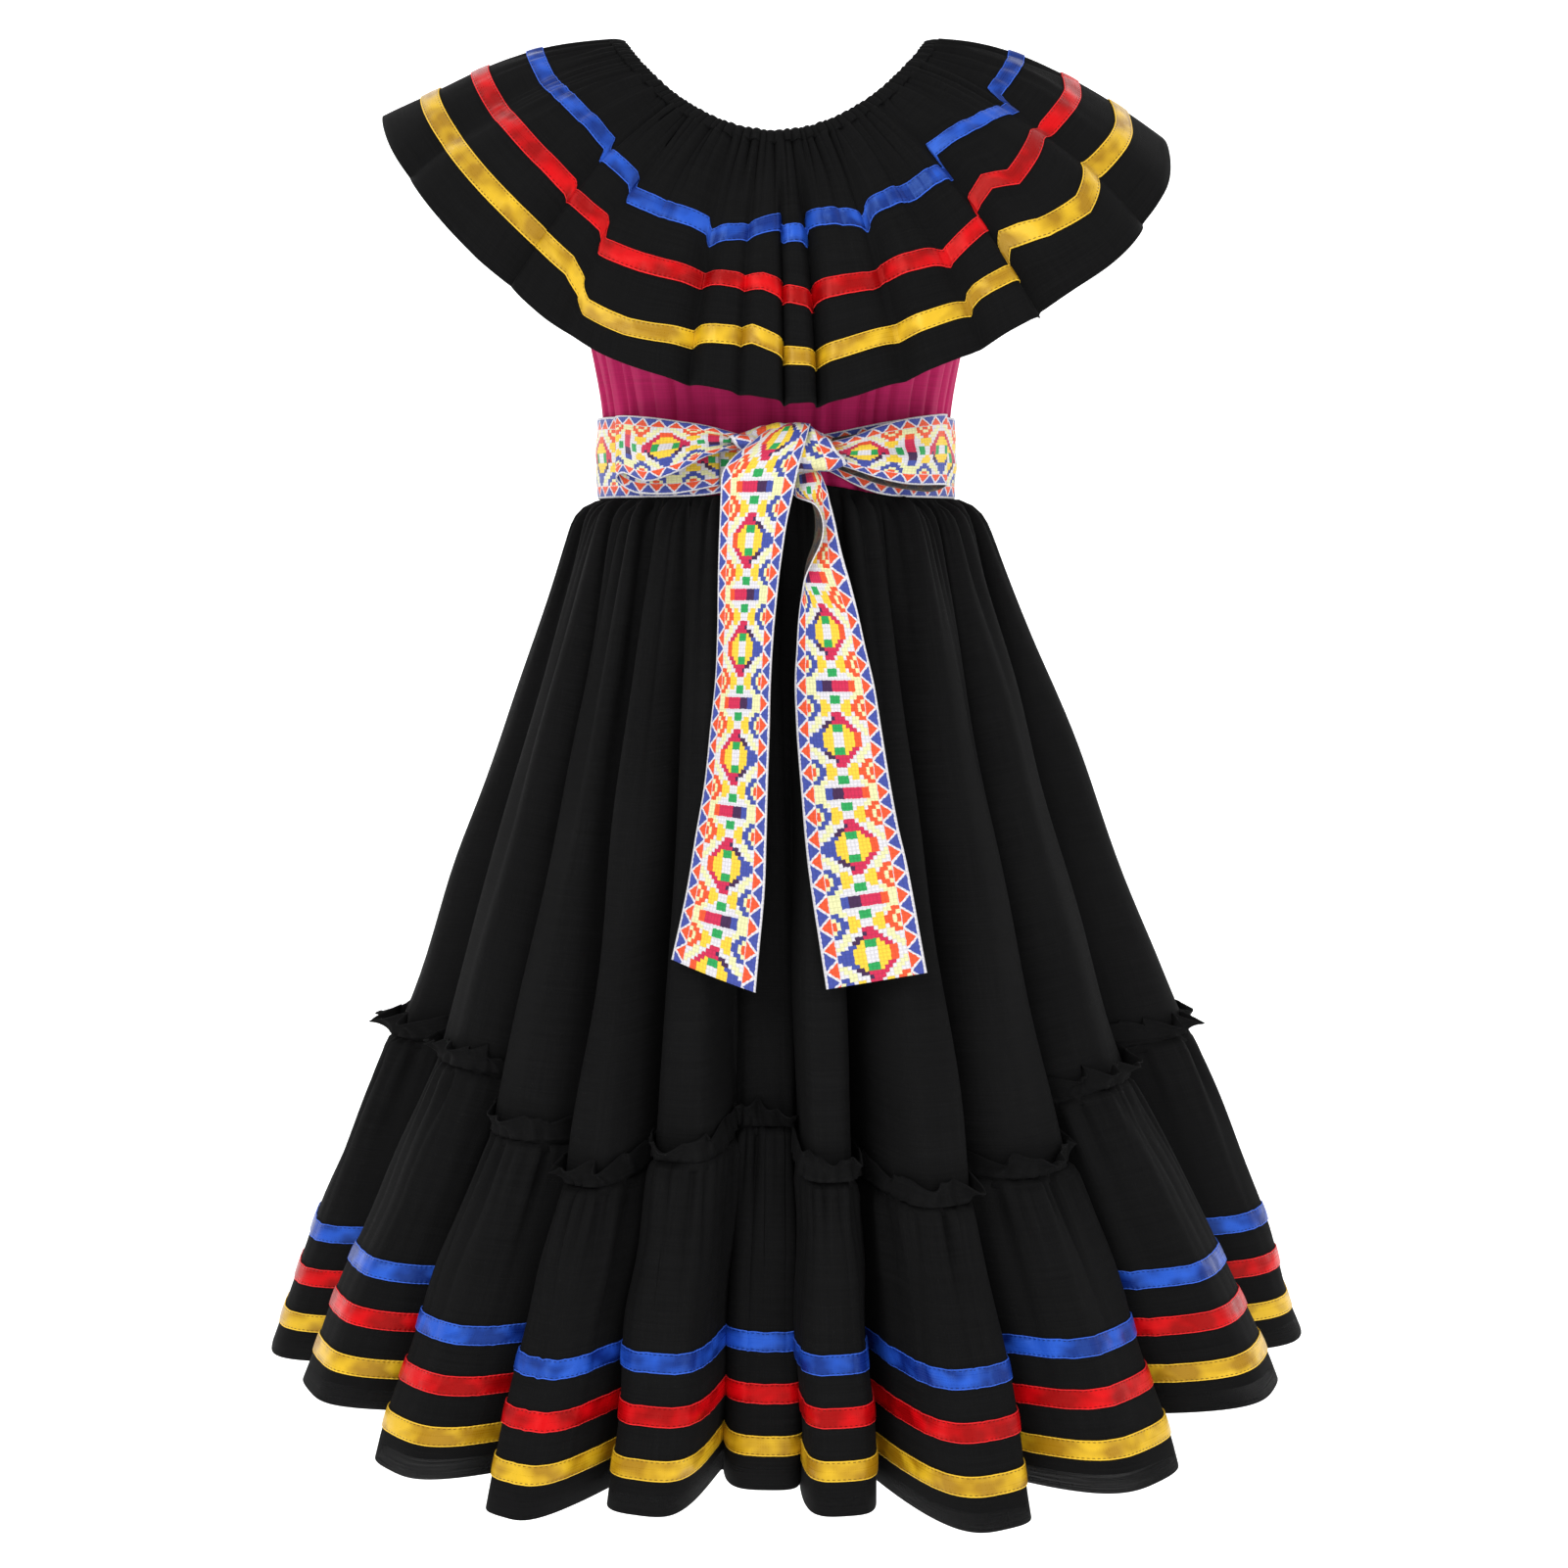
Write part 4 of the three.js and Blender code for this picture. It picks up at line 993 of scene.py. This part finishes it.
sash = dict(topZ=-203.5, height=46, crown=0.8, clear=1.6, thick=0.8, wall=0.6)
wrap = dict(columns=300, rows=27, liftAt=8, lift=17, liftRun=17, drop=14, dropRun=34, foot=1.8)
wrapCreases = dict(depth=0.45, across=2.6, wander=0.5, ripple=0.3)


def makeWrap():
    # Once round the waist: a crowned band with soft creases along it, its lower edge drawn up by the knot.
    bearing = np.arange(wrap["columns"]) / wrap["columns"] * 360
    share = sharesDown(wrap["rows"])
    fromKnot = signedOf(bearing)
    top = sash["topZ"] - wrap["drop"] * bellOf(fromKnot, wrap["dropRun"])
    foot = sash["topZ"] - sash["height"] + wrap["foot"]
    foot = foot + wrap["lift"] * bellOf(fromKnot - wrap["liftAt"], wrap["liftRun"])
    wander = wrapCreases["wander"] * np.sin(bearing * radian * 2)
    crease = np.sin(2 * np.pi * (wrapCreases["across"] * share + wander)) * np.cos(bearing * radian * 1.5 + 1)
    off = sash["clear"] + (sash["crown"] + wrapCreases["depth"] * crease) * np.sin(np.pi * share)
    off = off + ripples(bearing / 360, share, wrapCreases["ripple"], 101, (2, 9))
    points = waistPoints(bearing, off, mix(top, foot, share))
    down = share[:, 0] * sashWidth
    piece = clothWall("sashWrap", points, [sashFace, sashReverse], True, sash["thick"], down=down)
    dress(piece, "sash_wrap")


loops = dict(
    left=dict(
        bearing=(-9, -18, -27, -37, -47, -52, -53, -50, -44, -31, -17),
        off=(13, 15, 14, 12, 10, 8, 5, 2, 1.2, 1.2, 1.2),
        top=(-216.5, -211.5, -208.5, -206, -204.5, -204.5, -205, -206, -207, -210, -215),
        bottom=(-222.5, -227, -235, -239.5, -235, -237, -240, -244, -246, -246, -242),
        shift=2.0,
        inside=sashFace,
    ),
    right=dict(
        bearing=(12, 20, 29, 39, 52, 58, 59, 57, 51, 34, 17),
        off=(14, 15, 14, 11.5, 9.5, 8, 5, 2, 1.2, 1.2, 1.2),
        top=(-221, -217, -210.6, -206.5, -203.5, -203, -203, -204, -206, -212, -217),
        bottom=(-228, -233.5, -238.5, -241, -241, -241, -242.5, -244, -244.5, -241.5, -232.5),
        shift=32.0,
        inside=sashReverse,
    ),
)
loopCloth = dict(columns=120, rows=30, pleat=1.5, pleats=2.5, pleatRun=24, buckle=1.6, crown=4.5, fade=25)


def makeLoop(name):
    # From the knot along the front, round the loop's end and back: pleated where the knot grips it.
    table = loops[name]
    places = np.linspace(0, len(table["bearing"]) - 1, loopCloth["columns"])
    keys = ("bearing", "off", "top", "bottom")
    bearing, off, top, bottom = (throughRows(table[key], places) for key in keys)
    share = sharesDown(loopCloth["rows"])
    skin = sash["clear"] + sash["crown"] + sash["wall"]
    points = waistPoints(bearing, skin + off, mix(top, bottom, share))
    along = lengthsAcross(points, False)
    grip = bellOf(along, loopCloth["pleatRun"])
    pleats = loopCloth["pleat"] * grip * np.sin(2 * np.pi * loopCloth["pleats"] * share)
    front = np.clip((along[-1] * 0.5 - along) / loopCloth["fade"], 0, 1)
    buckle = loopCloth["buckle"] * ripples(along / along[-1], share, 1.0, 105, (1, 5)) * np.sin(np.pi * share)
    crown = loopCloth["crown"] * (1 - grip) * np.sin(np.pi * share) ** 0.8
    facing = 1 if name == "right" else -1
    points = raised(points, facing * (pleats + front * (buckle + crown)), False)
    if name == "left":
        points, along = points[:, ::-1], along[-1] - along[::-1]
    piece = clothWall(
        "sashLoop" + name.title(),
        points,
        [sashFace, table["inside"]],
        thick=sash["thick"],
        across=along + table["shift"],
        down=share[:, 0] * sashWidth,
    )
    dress(piece, "sash_loop_" + name)


knot = dict(centre=(3, -93.2, -223.5), halfWidth=24.5, round=13, open=15, peak=0.1, pinch=0.5)
knotCloth = dict(columns=110, rows=44, pleat=1.9, pleats=2.4, twist=0.2, ripple=0.95, slant=6)


def makeKnot():
    # One turn of the sash over the bow's middle: a soft tube, tapered to both ends, its pleats on a slant.
    across = np.linspace(-1, 1, knotCloth["rows"])[:, None]
    turn = np.linspace(-180 + knot["open"], 180 - knot["open"], knotCloth["columns"]) * radian
    size = 1 - knot["pinch"] * (across - knot["peak"]) ** 2
    front = np.clip(np.cos(turn) + 0.25, 0, 1)
    slanted = across / 2 + knotCloth["twist"] * turn
    pleat = knotCloth["pleat"] * np.sin(2 * np.pi * knotCloth["pleats"] * slanted)
    pleat = front * (pleat + knotCloth["ripple"] * ripples(across * 0.5, turn / 4, 1.0, 121, (2, 6)))
    x = knot["halfWidth"] * across - knotCloth["slant"] * np.sin(turn) * np.abs(across)
    y = -(knot["round"] * np.where(np.cos(turn) < 0, 1, np.sqrt(size)) + pleat) * np.cos(turn)
    z = (knot["round"] * size + pleat * 0.8) * np.sin(turn)
    points = pointsOf(x, y, z) + knot["centre"]
    down = (across[:, 0] + 1) / 2 * sashWidth
    piece = clothWall("sashKnot", points, [sashFace, sashReverse], thick=sash["thick"], down=down)
    dress(piece, "sash_knot")


# Rows of a tail: x and y of its left edge, of its fold and of its right edge, then the heights of both edges.
foldAt = 0.4  # of a tail's width
leftTail = [
    (3, -90, 8, -90, 15, -89, -216, -215),
    (-2, -96.5, 5, -97.5, 15, -96.5, -212.5, -211.5),
    (-9, -103, 1, -105.5, 14.5, -103.5, -216, -212.5),
    (-17, -108, -4, -111, 13, -108.5, -222.5, -218.5),
    (-25.5, -110.5, -11, -113.5, 10.8, -111, -229.5, -226.5),
    (-30.3, -110, -15.8, -113.5, 8.4, -112, -237, -236),
    (-31, -107.5, -17.1, -111.5, 6, -111, -247, -247),
    (-31.6, -105.5, -18.6, -109.5, 3, -110.5, -261, -261),
    (-32.2, -105, -19.9, -109.5, 0.5, -112.5, -278, -278),
    (-32.6, -105.5, -20.9, -110.5, -1.5, -115, -294, -294),
    (-33, -107, -22.1, -112.5, -4, -119, -320, -320),
    (-34, -108, -23.3, -114.5, -5.4, -122.5, -345, -345),
    (-37, -112, -25.4, -118.5, -6, -127, -371, -371),
    (-40, -116, -27.6, -122.5, -7, -131, -397, -399),
    (-44, -122, -30.5, -128, -8, -136, -422, -426),
    (-48, -128, -33.4, -134, -9, -141, -447, -453),
    (-56, -138, -39.9, -143.5, -13, -150, -484, -499),
]
rightTail = [
    (6, -93, 11, -94, 19, -93, -236, -234),
    (4.7, -98, 12, -101, 21.5, -99, -242, -240),
    (7.5, -102.5, 13, -102.5, 24, -102, -248.5, -246),
    (17, -106.5, 15.5, -101.5, 25.2, -103, -252.5, -252),
    (20.9, -108, 17, -100.5, 27.2, -104, -261, -261),
    (20.1, -108.5, 16.2, -101, 29.3, -105, -271, -271),
    (15, -109, 12.8, -103, 32.3, -107, -282, -282),
    (11, -109, 13.5, -105.5, 35.3, -109, -292, -292),
    (9, -109, 19, -108.5, 39.5, -110.5, -308, -308),
    (8, -109.5, 21, -111, 43.5, -112, -326, -326),
    (7, -110, 23, -112, 48, -113, -345, -345),
    (8, -114, 25, -116, 52, -118, -371, -370),
    (10, -119, 28, -121, 56, -123, -397, -395),
    (12, -124, 31, -127, 60, -130, -422, -417),
    (15, -130, 35, -133, 65, -137, -447, -439),
    (23, -141, 44, -144, 74, -149, -499, -489),
]
tailCloth = dict(columns=31, step=2.0, crown=0.8, ripple=0.5)


def makeTail(name, table, shift, mirrored, seed):
    # Each row is a parabola through its two edges and its fold; the rows follow a smooth path.
    rows = throughRows(table, np.linspace(0, len(table) - 1, 500))
    first, third = rows[:, [0, 1, 6]], rows[:, [4, 5, 7]]
    second = pointsOf(rows[:, 2], rows[:, 3], mix(rows[:, 6], rows[:, 7], foldAt))
    length = lengthsDown((first + third)[:, None] / 2)[:, 0]
    down = np.linspace(0, length[-1], int(length[-1] / tailCloth["step"]))
    lines = (first, second, third)
    first, second, third = (
        pointsOf(*(np.interp(down, length, axis) for axis in line.T))[:, None] for line in lines
    )
    share = np.linspace(0, 1, tailCloth["columns"])
    t = share[None, :, None]
    points = second * t * (1 - t) / (foldAt * (1 - foldAt))
    points = points + first * (t - foldAt) * (t - 1) / foldAt + third * t * (t - foldAt) / (1 - foldAt)
    off = ripples(down[:, None] / length[-1], share * 0.3, tailCloth["ripple"], seed, (1, 5))
    off = off + tailCloth["crown"] * np.sin(np.pi * share)
    points = raised(points, off, False)
    across = (1 - share if mirrored else share) * sashWidth
    title = "sashTail" + name.title()
    piece = clothWall(title, points, [sashFace, sashReverse], thick=sash["thick"], across=across, down=down)
    layer = piece.data.uv_layers[0].data  # turned, so that the pattern runs down the tail
    flat = np.empty(len(layer) * 2)
    layer.foreach_get("uv", flat)
    flat = flat.reshape(-1, 2)[:, ::-1] + (shift * mm, 0)
    layer.foreach_set("uv", flat.ravel())
    dress(piece, "sash_tail_" + name)


makeWrap()
makeLoop("left")
makeLoop("right")
makeKnot()
makeTail("left", leftTail, shift=32.5, mirrored=False, seed=111)
makeTail("right", rightTail, shift=21.7, mirrored=True, seed=112)
print("sash: done")


# Room, in metres.

room = dict(floor=-1.15, top=6, front=-6, wall=2.6, bend=0.9, half=7.0)
paperLook = dict(colour=(0.93, 0.93, 0.93, 1), glow=0.42)


def makeRoom():
    # A floor that bends up into a wall behind: straight, a quarter circle, straight.
    turn = np.linspace(0, np.pi / 2, 17)
    bend = room["bend"]
    y = np.concatenate([[room["front"]], room["wall"] - bend + bend * np.sin(turn), [room["wall"]]])
    z = np.concatenate([[0], bend * (1 - np.cos(turn)), [room["top"]]]) + room["floor"]
    x = np.array([-room["half"], room["half"]])
    points = pointsOf(x[None, :], y[:, None], z[:, None]).reshape(-1, 3)
    r = np.arange(len(y) - 1) * 2
    mesh = bpy.data.meshes.new("room")
    mesh.from_pydata(points.tolist(), [], np.stack([r, r + 1, r + 3, r + 2], -1).tolist())
    mesh.polygons.foreach_set("use_smooth", np.ones(len(r), bool))
    paper, tree, shader, _ = newMaterial("paper")
    feed(tree, shader, {"Base Color": paperLook["colour"], "Roughness": 0.95, "Specular IOR Level": 0.05})
    feed(tree, shader, {"Emission Color": (1, 1, 1, 1), "Emission Strength": paperLook["glow"]})
    mesh.materials.append(paper)
    backdrop = bpy.data.objects.new("room", mesh)
    bpy.context.collection.objects.link(backdrop)


makeRoom()
print("room: done")
